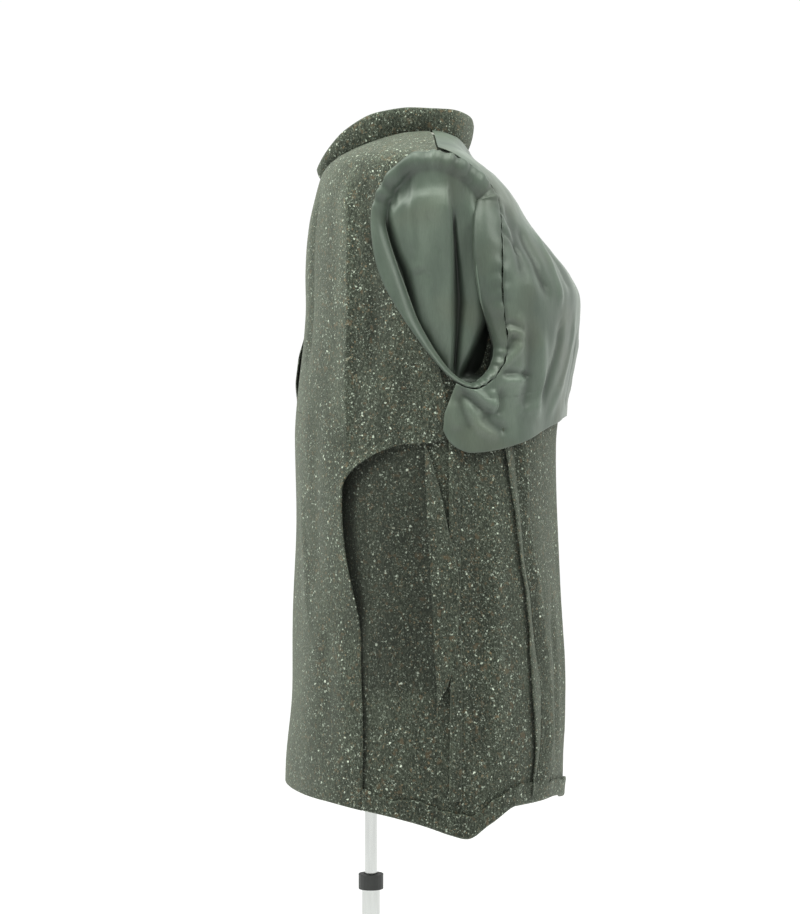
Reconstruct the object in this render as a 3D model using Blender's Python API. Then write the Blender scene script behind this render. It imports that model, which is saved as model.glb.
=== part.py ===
"""Blazer on a dress form: an inside-out tweed blazer with a half lining, on a limbless form and a round-based stand.

The garment's front opening faces -Y and its back lies over the form's bust, towards +Y.
The origin is the middle of the underside of the base, on the pole's axis. Metres, +Z up.
"""

import math

import bmesh
import bpy
import numpy as np

MM = 0.001

# ---- cloth thicknesses and spacings ----
WOOL = 1.6 * MM  # tweed, one layer
SATIN = 1.0 * MM  # lining, with the air that it holds
COLLAR = 3.2 * MM  # two layers of tweed and their interfacing
SEAM_GAP = 0.3 * MM  # between pieces that are sewn to each other
FACING_OUT = 4.3 * MM  # middle of the facing above the middle of the front
ALLOWANCE_OUT = 2.4 * MM  # middle of a pressed seam allowance above its panel
DART_OUT = 4.8 * MM  # middle of the folded dart above the front
TURNUP_OUT = 2.5 * MM  # middle of the turned-up hem above the panels
LINING_OUT_TOP = 4.8 * MM  # middle of the back lining at the neck
LINING_OUT_LOW = 6.8 * MM  # the same at its loose lower edge
LINING_BRIDGE = 3.5 * MM  # how far the lining spans the hollow below the nape
CUFF_STEP = 12 * MM  # the sleeve lining ends this far above the cuff
FACING_STANDOFF = 7.0 * MM  # how far the facing's free edge springs away
NECK_MARGIN = 4.5 * MM  # the facing and the lining end this far below the collar's foot
LINING_MARGIN = 5.0 * MM  # the back lining ends this far from the armhole's edge
FRONT_START = 0.9  # degrees from centre front to each front edge
FAR_EDGE_BOW = 4.5 * MM  # how far the far front edge bows out

# ---- sleeve, hanging inside the body ----
SLEEVE_WALL_OUT = 1.9 * MM  # tweed sleeve outside its lining
SLEEVE_GAP = 6.0 * MM  # from the body to the lining's near side
SLEEVE_HALF_DEPTH = 9.0 * MM  # half of the flattened sleeve's thickness

# ---- stand ----
BASE_RADIUS, BASE_HEIGHT = 0.170, 0.010
TUBE_OUT, TUBE_IN, TUBE_TOP = 0.0095, 0.0073, 0.628
POLE_RADIUS, POLE_BOTTOM = 0.0065, 0.130
CLAMP_RADIUS, CLAMP_LOW, CLAMP_HIGH = 0.0130, 0.6283, 0.6440
FORM_BOTTOM, FORM_TOP = 0.790, 1.428

# Horizontal sections of the garment's body, hem to neck.
#   z      height of the section
#   front  y of the centre front (the front opening, towards -Y)
#   back   y of the centre back
#   half   half of the width
#   mid    y where the section is widest
#   square 2 is an ellipse, more is squarer
SECTIONS = [
    # z      front    back    half    mid    square
    (0.690, -0.0835, 0.1950, 0.2160, 0.062, 2.45),
    (0.763, -0.0829, 0.1985, 0.2150, 0.062, 2.45),
    (0.846, -0.0766, 0.2010, 0.2120, 0.062, 2.45),
    (0.930, -0.0741, 0.1962, 0.2070, 0.062, 2.40),
    (1.035, -0.0728, 0.1920, 0.2000, 0.062, 2.40),
    (1.098, -0.0728, 0.1928, 0.1965, 0.062, 2.40),
    (1.150, -0.0698, 0.1985, 0.1950, 0.063, 2.40),
    (1.205, -0.0648, 0.2077, 0.1955, 0.064, 2.40),
    (1.240, -0.0627, 0.2100, 0.1957, 0.064, 2.38),
    (1.262, -0.0628, 0.2008, 0.1955, 0.064, 2.36),
    (1.286, -0.0620, 0.1820, 0.1950, 0.064, 2.34),
    (1.318, -0.0590, 0.1575, 0.1940, 0.065, 2.32),
    (1.346, -0.0532, 0.1410, 0.1920, 0.066, 2.30),
    (1.362, -0.0490, 0.1235, 0.1885, 0.066, 2.30),
    (1.371, -0.0455, 0.1105, 0.1800, 0.066, 2.30),
    (1.381, -0.0370, 0.1010, 0.1520, 0.065, 2.30),
    (1.391, -0.0215, 0.0965, 0.1200, 0.064, 2.30),
    (1.400, -0.0040, 0.0955, 0.0910, 0.063, 2.25),
    (1.408, 0.0130, 0.0930, 0.0650, 0.061, 2.20),
    (1.416, 0.0330, 0.0885, 0.0420, 0.061, 2.20),
]

# Lines that run round the body: angle in degrees from centre front, height.
HEM = [
    # angle, z
    (0, 0.758), (4, 0.750), (24, 0.7485), (48, 0.7470), (64, 0.7417), (82, 0.7322),
    (97, 0.7200), (104, 0.7160), (113, 0.7290), (124, 0.7440), (142, 0.7445), (180, 0.7255),
]
TURNUP_TOP = [
    (62, 0.7640), (73, 0.7535), (85, 0.7510), (97, 0.7400), (105, 0.7380), (113, 0.7490),
    (125, 0.7640), (140, 0.7610), (152, 0.7580), (180, 0.7445),
]
NECK = [
    (0, 1.366), (11, 1.380), (23, 1.391), (42, 1.4022), (62, 1.4078), (90, 1.4090),
    (115, 1.4058), (142, 1.4005), (165, 1.3960), (180, 1.3945),
]
LINING_LOW = [
    (94, 1.106), (96.3, 1.096), (100, 1.088), (105, 1.0838), (114, 1.086), (126, 1.094),
    (134, 1.102), (145, 1.112), (157, 1.1205), (180, 1.125),
]

# Lines that run up the body: height, angle.
SIDE_SEAM = [(0.69, 101.2), (1.16, 101.4)]
BACK_SEAM = [
    # z, angle
    (0.69, 131), (0.76, 132.6), (0.80, 135), (0.85, 135.2), (0.90, 133.4), (0.94, 131.8),
    (0.98, 128.4), (1.04, 126.8), (1.085, 124.8), (1.15, 119.5), (1.20, 116.5),
]
BACK_FOLD_IN = [
    (0.74, 128.8), (0.79, 131.2), (0.844, 129.3), (0.902, 129.4), (0.941, 128.4),
    (0.98, 125.4), (1.038, 123.0), (1.077, 120.5), (1.13, 116.8),
]
BACK_FOLD_OUT = [
    (0.74, 138.0), (0.79, 141.0), (0.84, 141.6), (0.90, 139.4), (0.939, 137.6),
    (0.979, 133.4), (1.038, 131.1), (1.077, 130.5), (1.13, 126.6),
]
DART_FOLD = [
    (0.8436, 91.9), (0.8625, 95.5), (0.8815, 97.5), (0.9004, 98.8), (0.943, 100.2),
    (0.967, 99.9), (0.986, 98.3), (1.010, 95.9), (1.0388, 93.4), (1.075, 89.2), (1.0915, 86.8),
]

# The facing's free edge, from the hem up and round to the armhole: angle, height.
FACING_EDGE = [
    # angle, z, and the height at the front edge that the row starts from
    (63.8, 0.741, 0.750), (63.8, 0.800, 0.805), (61.8, 0.880, 0.880), (60.8, 0.940, 0.935),
    (57.6, 0.985, 0.975), (56.2, 1.035, 1.015), (58.0, 1.062, 1.040), (66.0, 1.0805, 1.062),
    (77.0, 1.0915, 1.084), (89.0, 1.0935, 1.108), (98.0, 1.1010, 1.132),
]

# The armhole, from the shoulder tip down over the front and up the back: y, z.
ARMHOLE = [
    (0.0665, 1.3705), (0.0400, 1.3670), (0.0207, 1.3506), (0.0081, 1.3238), (0.0068, 1.2930),
    (0.0150, 1.2530), (0.0381, 1.2098), (0.0700, 1.1665), (0.0900, 1.1502), (0.1055, 1.1484),
    (0.1225, 1.1640), (0.1300, 1.1885), (0.1260, 1.2350), (0.1245, 1.2900), (0.1200, 1.3320),
    (0.1043, 1.3534), (0.0870, 1.3640),
]
TIP_LEVEL = 1.376  # where the centre back is level with the shoulder tip
ARM_BOTTOM, ARM_BACK = 8, 11  # rows where the side seam and the back seam meet it
ARM_MIDDLE, ARM_HALF = (0.068, 1.240), (0.062, 0.110)  # y and z of its middle, and its half sizes
FRONT_STEPS, UNDER_STEPS, REAR_STEPS = 9, 3, 8  # edges along its front, under the arm and up the back

# The collar's top edge, right half: angle at the neck, and the point.
COLLAR_TOP = [
    # angle   x       y       z
    (0, 0.002, -0.0560, 1.3825),
    (11, 0.026, -0.0495, 1.3925),
    (23, 0.046, -0.0270, 1.4165),
    (42, 0.060, 0.0060, 1.4330),
    (62, 0.066, 0.0400, 1.4374),
    (90, 0.066, 0.0640, 1.4365),
    (115, 0.060, 0.0830, 1.4360),
    (142, 0.044, 0.0960, 1.4345),
    (165, 0.020, 0.1040, 1.4330),
    (180, 0.000, 0.1060, 1.4315),
]

# The sleeve below the armhole: height, y of its middle, half of its flat width.
SLEEVE = [
    # z      y      half
    (1.120, 0.068, 0.074),
    (1.040, 0.066, 0.073),
    (0.960, 0.062, 0.069),
    (0.880, 0.058, 0.063),
    (0.795, 0.055, 0.058),
]
# How the sleeve lining turns over the armhole's edge: into the hole, and outwards.
MOUTH = [
    # in       out
    (-2.4 * MM, 7.0 * MM),
    (-0.2 * MM, 8.6 * MM),
    (3.0 * MM, 6.6 * MM),
    (4.9 * MM, 1.0 * MM),
    (5.6 * MM, -7.0 * MM),
]

# Sections of the dress form: the bust is towards +Y.
FORM = [
    # z      back     bust    half   mid    square
    (0.790, -0.0400, 0.1000, 0.1380, 0.035, 2.3),
    (0.800, -0.0500, 0.1130, 0.1520, 0.035, 2.3),
    (0.850, -0.0570, 0.1210, 0.1600, 0.036, 2.3),
    (0.920, -0.0560, 0.1160, 0.1530, 0.037, 2.2),
    (1.020, -0.0480, 0.1020, 0.1260, 0.040, 2.2),
    (1.090, -0.0520, 0.1220, 0.1300, 0.045, 2.2),
    (1.160, -0.0560, 0.1700, 0.1430, 0.050, 2.2),
    (1.215, -0.0560, 0.1960, 0.1500, 0.052, 2.2),
    (1.250, -0.0540, 0.1890, 0.1520, 0.054, 2.2),
    (1.300, -0.0500, 0.1560, 0.1540, 0.058, 2.2),
    (1.335, -0.0450, 0.1285, 0.1540, 0.060, 2.2),
    (1.356, -0.0350, 0.1120, 0.1430, 0.060, 2.2),
    (1.368, -0.0260, 0.0980, 0.1180, 0.059, 2.2),
    (1.380, -0.0140, 0.0910, 0.0870, 0.057, 2.1),
    (1.394, -0.0030, 0.0855, 0.0590, 0.055, 2.0),
    (1.410, 0.0020, 0.0840, 0.0480, 0.053, 2.0),
    (1.428, 0.0040, 0.0820, 0.0450, 0.053, 2.0),
]


def smooth_read(xk, yk, x):
    """Reads a table at x along a smooth line that never overshoots its rows."""
    xk, yk, x = (np.asarray(v, float) for v in (xk, yk, x))
    h = np.diff(xk)
    d = np.diff(yk) / h
    m = np.zeros_like(yk)
    same = d[:-1] * d[1:] > 0
    den = np.where(same, d[:-1] + d[1:], 1.0)
    m[1:-1] = np.where(same, 2 * d[:-1] * d[1:] / den, 0)
    m[0], m[-1] = d[0], d[-1]
    x = np.clip(x, xk[0], xk[-1])
    i = np.clip(np.searchsorted(xk, x, side="right") - 1, 0, len(h) - 1)
    s = (x - xk[i]) / h[i]
    return (
        yk[i] * (1 + 2 * s) * (1 - s) ** 2
        + m[i] * h[i] * s * (1 - s) ** 2
        + yk[i + 1] * s * s * (3 - 2 * s)
        + m[i + 1] * h[i] * s * s * (s - 1)
    )


def table(rows, x):
    """Second column of a table at the first column's value x."""
    rows = np.array(rows, float)
    return smooth_read(rows[:, 0], rows[:, 1], x)


_T = np.array(SECTIONS, float)
# The upward coordinate w is the length of the side line, so that it also runs evenly along the shoulders.
_W = np.concatenate([[0], np.cumsum(np.hypot(np.diff(_T[:, 0]), np.diff(_T[:, 3])))]) + _T[0, 0]
_WF = np.linspace(_W[0], _W[-1], 4000)
_ZF = smooth_read(_W, _T[:, 0], _WF)


def w_of_z(z):
    return np.interp(z, _ZF, _WF)


def body(theta, w):
    """Point on the body: theta 0 at centre front, 90 degrees at the right side (+X), 180 at centre back."""
    theta, w = np.broadcast_arrays(np.asarray(theta, float), np.asarray(w, float))
    z, f, b, a, m, n = (smooth_read(_W, _T[:, k], w) for k in range(6))
    s, c = np.sin(theta), np.cos(theta)
    r = (np.abs(s) ** n + np.abs(c) ** n) ** (-1 / n)
    return np.stack([a * r * s, m - np.where(c > 0, m - f, b - m) * r * c, z], -1)


def unit(v):
    return v / np.maximum(np.linalg.norm(v, axis=-1, keepdims=True), 1e-12)


def body_normal(theta, w, e=1e-3):
    return unit(np.cross(body(theta + e, w) - body(theta - e, w), body(theta, w + e) - body(theta, w - e)))


def locate(y, z):
    """Angle and upward coordinate of the point on the right half that has this y and z."""
    y, w = np.broadcast_arrays(np.asarray(y, float), w_of_z(np.asarray(z, float)))
    lo, hi = np.zeros(y.shape), np.full(y.shape, math.pi)
    for _ in range(48):
        mid = (lo + hi) / 2
        low = body(mid, w)[..., 1] < y
        lo, hi = np.where(low, mid, lo), np.where(low, hi, mid)
    return (lo + hi) / 2, w


def closed_curve(rows, t):
    """Point on the smooth closed curve through the rows; t counts rows."""
    p = np.array(rows, float)
    n = len(p)
    t = np.asarray(t, float) % n
    i = np.floor(t).astype(int)
    s = (t - i)[..., None]
    a, b, c, d = (p[(i + k) % n] for k in (-1, 0, 1, 2))
    return 0.5 * (2 * b + (c - a) * s + (2 * a - 5 * b + 4 * c - d) * s * s + (3 * b - a - 3 * c + d) * s**3)


def evenly(rows, count, start, stop):
    """Row positions that are evenly spaced in length along the closed curve, from row start to row stop."""
    t = np.linspace(start, stop, 400)
    p = closed_curve(rows, t)
    th, w = locate(p[:, 0], p[:, 1])
    q = body(th, w)
    s = np.concatenate([[0], np.cumsum(np.linalg.norm(np.diff(q, axis=0), axis=1))])
    return np.interp(np.linspace(0, s[-1], count), s, t)


def armhole(t, into=0.0, out=0.0):
    """Point at the armhole's edge, moved into the hole along the cloth and outwards from it."""
    t = np.asarray(t, float)

    def edge(k):
        p = closed_curve(ARMHOLE, k)
        th, w = locate(p[..., 0], p[..., 1])
        return body(th, w), body_normal(th, w)

    p, n = edge(t)
    along = unit(edge(t + 0.05)[0] - edge(t - 0.05)[0])
    inward = unit(np.cross(along, n))
    centre = body(*locate(0.068, 1.265))
    flip = np.sign(np.sum(inward * (centre - p), axis=-1, keepdims=True))
    return p + inward * flip * np.asarray(into)[..., None] + n * np.asarray(out)[..., None]


def armhole_uv(t, away=0.0):
    """The same edge as angle and upward coordinate, moved away from the hole."""
    p = armhole(t, into=-away * np.ones(np.shape(t)), out=np.zeros(np.shape(t)))
    return np.stack(locate(p[:, 1], p[:, 2]), -1)


def rad(a):
    return np.radians(np.asarray(a, float))


def rise(rows_z, rows, shift=0.0):
    """A line up the body through the given heights: angle (moved by shift degrees) and upward coordinate."""
    return np.stack([rad(table(rows, rows_z) + shift), w_of_z(rows_z)], -1)


def region(first, last, cols, bottom=None, top=None):
    """Grid of angle and upward coordinate between two lines up the body, with the same number of rows.
    bottom and top give the height by angle in degrees, and the rows near them follow them."""
    rows = len(first)
    u = np.linspace(0, 1, cols)[None, :, None]
    v = np.linspace(0, 1, rows)[:, None]
    g = first[:, None, :] * (1 - u) + last[:, None, :] * u
    for line, row, weight in ((bottom, 0, (1 - v) ** 3), (top, -1, v**3)):
        if line is None:
            continue
        angle = np.degrees(g[row, :, 0])
        angle = np.where(angle > 180, 360 - angle, angle)
        g[:, :, 1] += weight * (w_of_z(table(line, angle)) - g[row, :, 1])[None, :]
    return g


def below_neck(g, margin, rows=3):
    """The same grid, its last row lowered by margin and the rows just before it by less."""
    g = g.copy()
    for k in range(1, rows + 1):
        g[-k, :, 1] -= margin * (1 - (k - 1) / rows)
    return g


def raised(g, out):
    """Points of a grid on the body, moved out by a number or by an array."""
    th, w = g[..., 0], g[..., 1]
    out = np.broadcast_to(np.asarray(out, float), th.shape)
    return body(th, w) + body_normal(th, w) * out[..., None]


def window(x, lo, hi, soft):
    """1 between lo and hi, falling smoothly to 0 over soft outside them."""
    t = np.clip(np.minimum((x - lo) / soft + 1, (hi - x) / soft + 1), 0, 1)
    return t * t * (3 - 2 * t)


# ---- making solids ----


def clear_scene():
    for o in list(bpy.data.objects):
        bpy.data.objects.remove(o, do_unlink=True)


def material(name, colour, rough, metal=0.0):
    m = bpy.data.materials.new(name)
    m.use_nodes = True
    b = m.node_tree.nodes["Principled BSDF"]
    b.inputs["Base Color"].default_value = (*colour, 1)
    b.inputs["Roughness"].default_value = rough
    b.inputs["Metallic"].default_value = metal
    return m


def add(name, verts, faces, mat, mirror=False):
    """One closed object, its faces pointing out."""
    verts = np.array(verts, float)
    if mirror:
        verts = verts * (-1, 1, 1)
    mesh = bpy.data.meshes.new(name)
    mesh.from_pydata([tuple(v) for v in verts], [], faces)
    bm = bmesh.new()
    bm.from_mesh(mesh)
    bmesh.ops.recalc_face_normals(bm, faces=bm.faces)
    if bm.calc_volume(signed=True) < 0:
        bmesh.ops.reverse_faces(bm, faces=bm.faces)
    bm.to_mesh(mesh)
    bm.free()
    mesh.materials.append(mat)
    mesh.shade_smooth()
    mesh.set_sharp_from_angle(angle=math.radians(40))
    o = bpy.data.objects.new(name, mesh)
    bpy.context.scene.collection.objects.link(o)
    return o


def wall(name, outer, inner, mat, ring=False, mirror=False):
    """A closed wall between two grids of points; ring joins the last column to the first."""
    rows, cols = outer.shape[:2]
    n = rows * cols
    verts = np.concatenate([outer.reshape(-1, 3), inner.reshape(-1, 3)])
    faces = []
    span = cols if ring else cols - 1
    for i in range(rows - 1):
        for j in range(span):
            k = (j + 1) % cols
            a, b, c, d = i * cols + j, i * cols + k, (i + 1) * cols + k, (i + 1) * cols + j
            faces += [(a, b, c), (a, c, d), (n + c, n + b, n + a), (n + d, n + c, n + a)]
    for i in (0, rows - 1):
        for j in range(span):
            a, b = i * cols + j, i * cols + (j + 1) % cols
            faces.append((b, a, n + a, n + b) if i == 0 else (a, b, n + b, n + a))
    if not ring:
        for j in (0, cols - 1):
            for i in range(rows - 1):
                a, b = i * cols + j, (i + 1) * cols + j
                faces.append((a, b, n + b, n + a) if j == 0 else (b, a, n + a, n + b))
    return add(name, verts, faces, mat, mirror)


def panel(name, g, mid, thick, mat, mirror=False):
    """A cloth piece on the body: its middle is mid above the body's surface."""
    mid = np.asarray(mid, float)
    return wall(name, raised(g, mid + thick / 2), raised(g, mid - thick / 2), mat, mirror=mirror)


def turned(name, profile, mat, segments=32, inner=None):
    """A solid turned about the pole's axis. profile is (radius, z) from the bottom up; inner, if given, is the bore."""
    ang = np.linspace(0, 2 * math.pi, segments, endpoint=False)
    loop = list(profile) + (list(reversed(inner)) if inner else [])
    verts = [(r * math.cos(a), r * math.sin(a), z) for r, z in loop for a in ang]
    n, faces = len(loop), []
    last = n if inner else n - 1
    for i in range(last):
        for j in range(segments):
            k = (j + 1) % segments
            i2 = (i + 1) % n
            faces.append((i * segments + j, i * segments + k, i2 * segments + k, i2 * segments + j))
    if not inner:
        faces.append(tuple(reversed(range(segments))))
        faces.append(tuple((n - 1) * segments + j for j in range(segments)))
    return add(name, verts, faces, mat)


# ---- materials ----


def make_materials():
    return {
        "tweed": material("tweed", (0.055, 0.055, 0.045), 0.95),
        "satin": material("satin", (0.10, 0.12, 0.115), 0.45),
        "form": material("form_cover", (0.78, 0.76, 0.72), 0.85),
        "chrome": material("chrome", (0.80, 0.80, 0.80), 0.12, 1.0),
        "plastic": material("dark_plastic", (0.03, 0.03, 0.03), 0.5),
        "base": material("base_paint", (0.62, 0.62, 0.62), 0.4),
    }


# ---- lines shared by the pieces ----


def lines():
    """The seams, as rows of angle and upward coordinate that neighbouring pieces share."""
    k = np.linspace(0, 1, 7)
    gap = 0.07  # degrees, about 0.2 mm at the side
    hem_side = float(table(HEM, 101.3))
    hem_back = float(table(HEM, 131.5))
    n = len(ARMHOLE)
    arm_b, arm_k = closed_curve(ARMHOLE, ARM_BOTTOM), closed_curve(ARMHOLE, ARM_BACK)
    z_side = hem_side + (arm_b[1] - hem_side) * k
    z_back = hem_back + (arm_k[1] - hem_back) * k
    out = {}
    out["side_front"] = rise(z_side, SIDE_SEAM, -gap)
    out["side_rear"] = rise(z_side, SIDE_SEAM, gap)
    out["back_in"] = rise(z_back, BACK_SEAM, -gap)
    out["back_out"] = rise(z_back, BACK_SEAM, gap)
    # marks along the armhole, which every piece that meets it shares
    front = evenly(ARMHOLE, FRONT_STEPS + 1, ARM_BOTTOM, 0)
    under = evenly(ARMHOLE, UNDER_STEPS + 1, ARM_BOTTOM, ARM_BACK)
    rear = evenly(ARMHOLE, REAR_STEPS + 1, ARM_BACK, n)
    out["marks_front"], out["marks_under"], out["marks_rear"] = front, under, rear
    out["marks"] = np.concatenate([front[::-1], under[1:], rear[1:-1]])
    tip = w_of_z(ARMHOLE[0][1])
    out["tip"] = np.array([[rad(90), tip]])
    out["shoulder"] = np.stack([np.full(2, rad(90)), np.linspace(tip, w_of_z(NECK[5][1]), 3)[1:]], -1)
    out["gap"] = rad(gap)
    return out


def centre_front(rows, low, high):
    """The front edge: heights spaced as the given rows are, from low to high."""
    s = (rows - rows[0]) / (rows[-1] - rows[0])
    return np.stack([np.full(len(rows), rad(FRONT_START)), w_of_z(low + (high - low) * s)], -1)


def length_marks(line):
    """Distance along a line on the body at each of its rows."""
    p = body(line[:, 0], line[:, 1])
    return np.concatenate([[0], np.cumsum(np.linalg.norm(np.diff(p, axis=0), axis=1))])


def centre_back(edge, low, tip_row):
    """The centre back line, whose rows match the given edge: it is level with the shoulder tip at tip_row."""
    t = length_marks(edge)
    rows = np.arange(len(t))
    w = np.interp(t, [0, t[tip_row], t[-1]], w_of_z(np.array([low, TIP_LEVEL, NECK[-1][1]])))
    return np.stack([np.full(len(rows), math.pi), w], -1)


def far_bow(g):
    """The far front edge bows out a little at chest height."""
    z = body(g[..., 0], g[..., 1])[..., 2]
    return FAR_EDGE_BOW * window(z, 1.160, 1.180, 0.032) * window(np.degrees(g[..., 0]), 0, 2, 9)


def front_region(s):
    outer = np.concatenate([s["side_front"], armhole_uv(s["marks_front"][1:-1]), s["tip"], s["shoulder"]])
    outer[7:, 0] -= s["gap"]
    first = centre_front(length_marks(outer), table(HEM, 1.0), NECK[0][1])
    return region(first, outer, 10, HEM, NECK)


def facing_region(front):
    """The facing: rows of its own up to the chest, and the front's rows above."""
    e = np.array(FACING_EDGE, float)
    outer = np.stack([rad(e[:, 0]), w_of_z(e[:, 1])], -1)
    first = np.stack([np.full(len(e), rad(FRONT_START)), w_of_z(e[:, 2])], -1)
    low = region(first, outer, front.shape[1], HEM)
    return below_neck(np.concatenate([low, front[7:]]), NECK_MARGIN, 2)


def facing_lift(g):
    """The facing lies on the front, and its free edge stands away from it below the chest."""
    z = body(g[..., 0], g[..., 1])[..., 2]
    u = np.linspace(0, 1, g.shape[1])[None, :]
    return FACING_OUT + FACING_STANDOFF * window(z, 0.985, 1.040, 0.06) * u**3


def back_region(s):
    edge = np.concatenate([s["back_out"], armhole_uv(s["marks_rear"][1:-1]), s["tip"], s["shoulder"]])
    edge[7:, 0] += s["gap"]
    right = region(edge, centre_back(edge, HEM[-1][1], len(edge) - 3), 7, HEM, NECK)
    left = right[:, -2::-1].copy()
    left[..., 0] = 2 * math.pi - left[..., 0]
    return np.concatenate([right, left], 1)


def side_back_region(s):
    g = region(s["side_rear"], s["back_in"], UNDER_STEPS + 1, HEM)
    top = armhole_uv(s["marks_under"])
    v = np.linspace(0, 1, len(g))[:, None, None] ** 3
    top[0, 0], top[-1, 0] = g[-1, 0, 0], g[-1, -1, 0]
    return g + v * (top - g[-1])[None]


def lining_region(s):
    """Half of the back lining: from its edge under the arm, round the armhole and up the shoulder, to centre back."""
    low = np.array([(94.2, 1.107), (94.6, 1.123)], float)
    low = np.stack([rad(low[:, 0]), w_of_z(low[:, 1])], -1)
    marks = np.concatenate([[ARM_BOTTOM - 0.30], s["marks_under"], s["marks_rear"][1:-1]])
    arm = armhole_uv(marks, away=LINING_MARGIN)
    top = np.stack([np.full(3, rad(93.5)), np.linspace(s["tip"][0, 1] + 0.022, w_of_z(NECK[5][1]), 3)], -1)
    edge = np.concatenate([low, arm, top])
    mid = centre_back(edge, LINING_LOW[-1][1], len(edge) - 3)
    right = below_neck(region(edge, mid, 8, LINING_LOW, NECK), NECK_MARGIN, 2)
    left = right[:, -2::-1].copy()
    left[..., 0] = 2 * math.pi - left[..., 0]
    return np.concatenate([right, left], 1)


def lining_lift(g):
    z = body(g[..., 0], g[..., 1])[..., 2]
    near_back = window(np.degrees(g[..., 0]), 165, 195, 18)
    return (
        LINING_OUT_TOP
        + (LINING_OUT_LOW - LINING_OUT_TOP) * window(z, 1.0, 1.300, 0.07)
        + LINING_BRIDGE * window(z, 1.366, 1.386, 0.018) * near_back
    )


def band(low, high, first, last, rows, cols=2):
    """A strip up the body between two lines, from height low to high."""
    z = np.linspace(low, high, rows)
    return region(rise(z, first), rise(z, last), cols)


def sleeve_rows(t):
    """Middle of the sleeve lining: rings from the armhole's edge to the cuff, through the marks t."""
    cols = len(t)
    edge = armhole(t, np.zeros(cols), np.zeros(cols))
    (yc, zc), (hy, hz) = ARM_MIDDLE, ARM_HALF
    phi = np.arctan2((yc - edge[:, 1]) / hy, (edge[:, 2] - zc) / hz)
    rings = [armhole(t, np.full(cols, i), np.full(cols, o)) for i, o in MOUTH]

    def hanging(z):
        yc, half = (smooth_read([-r[0] for r in SLEEVE], [r[k] for r in SLEEVE], -z) for k in (1, 2))
        r = (np.abs(np.sin(phi)) ** 2.6 + np.abs(np.cos(phi)) ** 2.6) ** (-1 / 2.6)
        y = yc - half * np.sin(phi) * r
        side = body(*locate(y, z))
        return np.stack([side[:, 0] - SLEEVE_GAP - SLEEVE_HALF_DEPTH * (1 + np.cos(phi) * r), y, np.full(cols, z)], -1)

    start, low = rings[-1], hanging(SLEEVE[0][0])
    for e in (0.12, 0.40, 0.70):
        rings.append(start * (1 - e) + low * e)
    rings += [hanging(z) for z in (1.120, 1.020, 0.910, 0.795)]
    return np.array(rings)


def ring_normals(p):
    """Normals of a grid of rings, away from the tube's hollow."""
    along = np.gradient(p, axis=0)
    around = np.roll(p, -1, axis=1) - np.roll(p, 1, axis=1)
    nrm = unit(np.cross(around, along))
    middle = p.mean(axis=1, keepdims=True)
    sign = np.sign(np.sum(nrm[-3] * (p[-3] - middle[-3])))
    return nrm * sign


def collar_grid(cols, rows):
    """Middle of the standing collar, from the right front end round the back to the left one."""
    ang = np.linspace(1.5, 180, cols // 2 + 1)
    foot_w = w_of_z(table(NECK, ang))
    foot = body(rad(ang), foot_w) + body_normal(rad(ang), foot_w) * 1.0 * MM
    ct = np.array(COLLAR_TOP, float)
    top = np.stack([smooth_read(ct[:, 0], ct[:, k], ang) for k in (1, 2, 3)], -1)
    up = unit(top - foot)
    foot = foot + up * 3.0 * MM
    v = np.linspace(0, 1, rows)[:, None, None]
    right = foot[None] * (1 - v) + top[None] * v
    outward = unit(np.cross(np.gradient(right, axis=1), up[None]))
    right = right + outward * (1.5 * MM) * np.sin(math.pi * v)
    left = right[:, -2::-1] * (-1, 1, 1)
    return np.concatenate([right, left], 1)


def form_grid(cols):
    f = np.array(FORM, float)
    z = np.concatenate([f[:, 0]])
    ang = 2 * math.pi * np.arange(cols) / cols
    rings = []
    for row in f:
        _, lo, hi, a, m, n = row
        s, c = np.sin(ang), np.cos(ang)
        r = (np.abs(s) ** n + np.abs(c) ** n) ** (-1 / n)
        rings.append(np.stack([a * r * s, m - np.where(c > 0, m - lo, hi - m) * r * c, np.full(cols, row[0])], -1))
    return np.array(rings), z


# ---- the object ----


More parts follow.
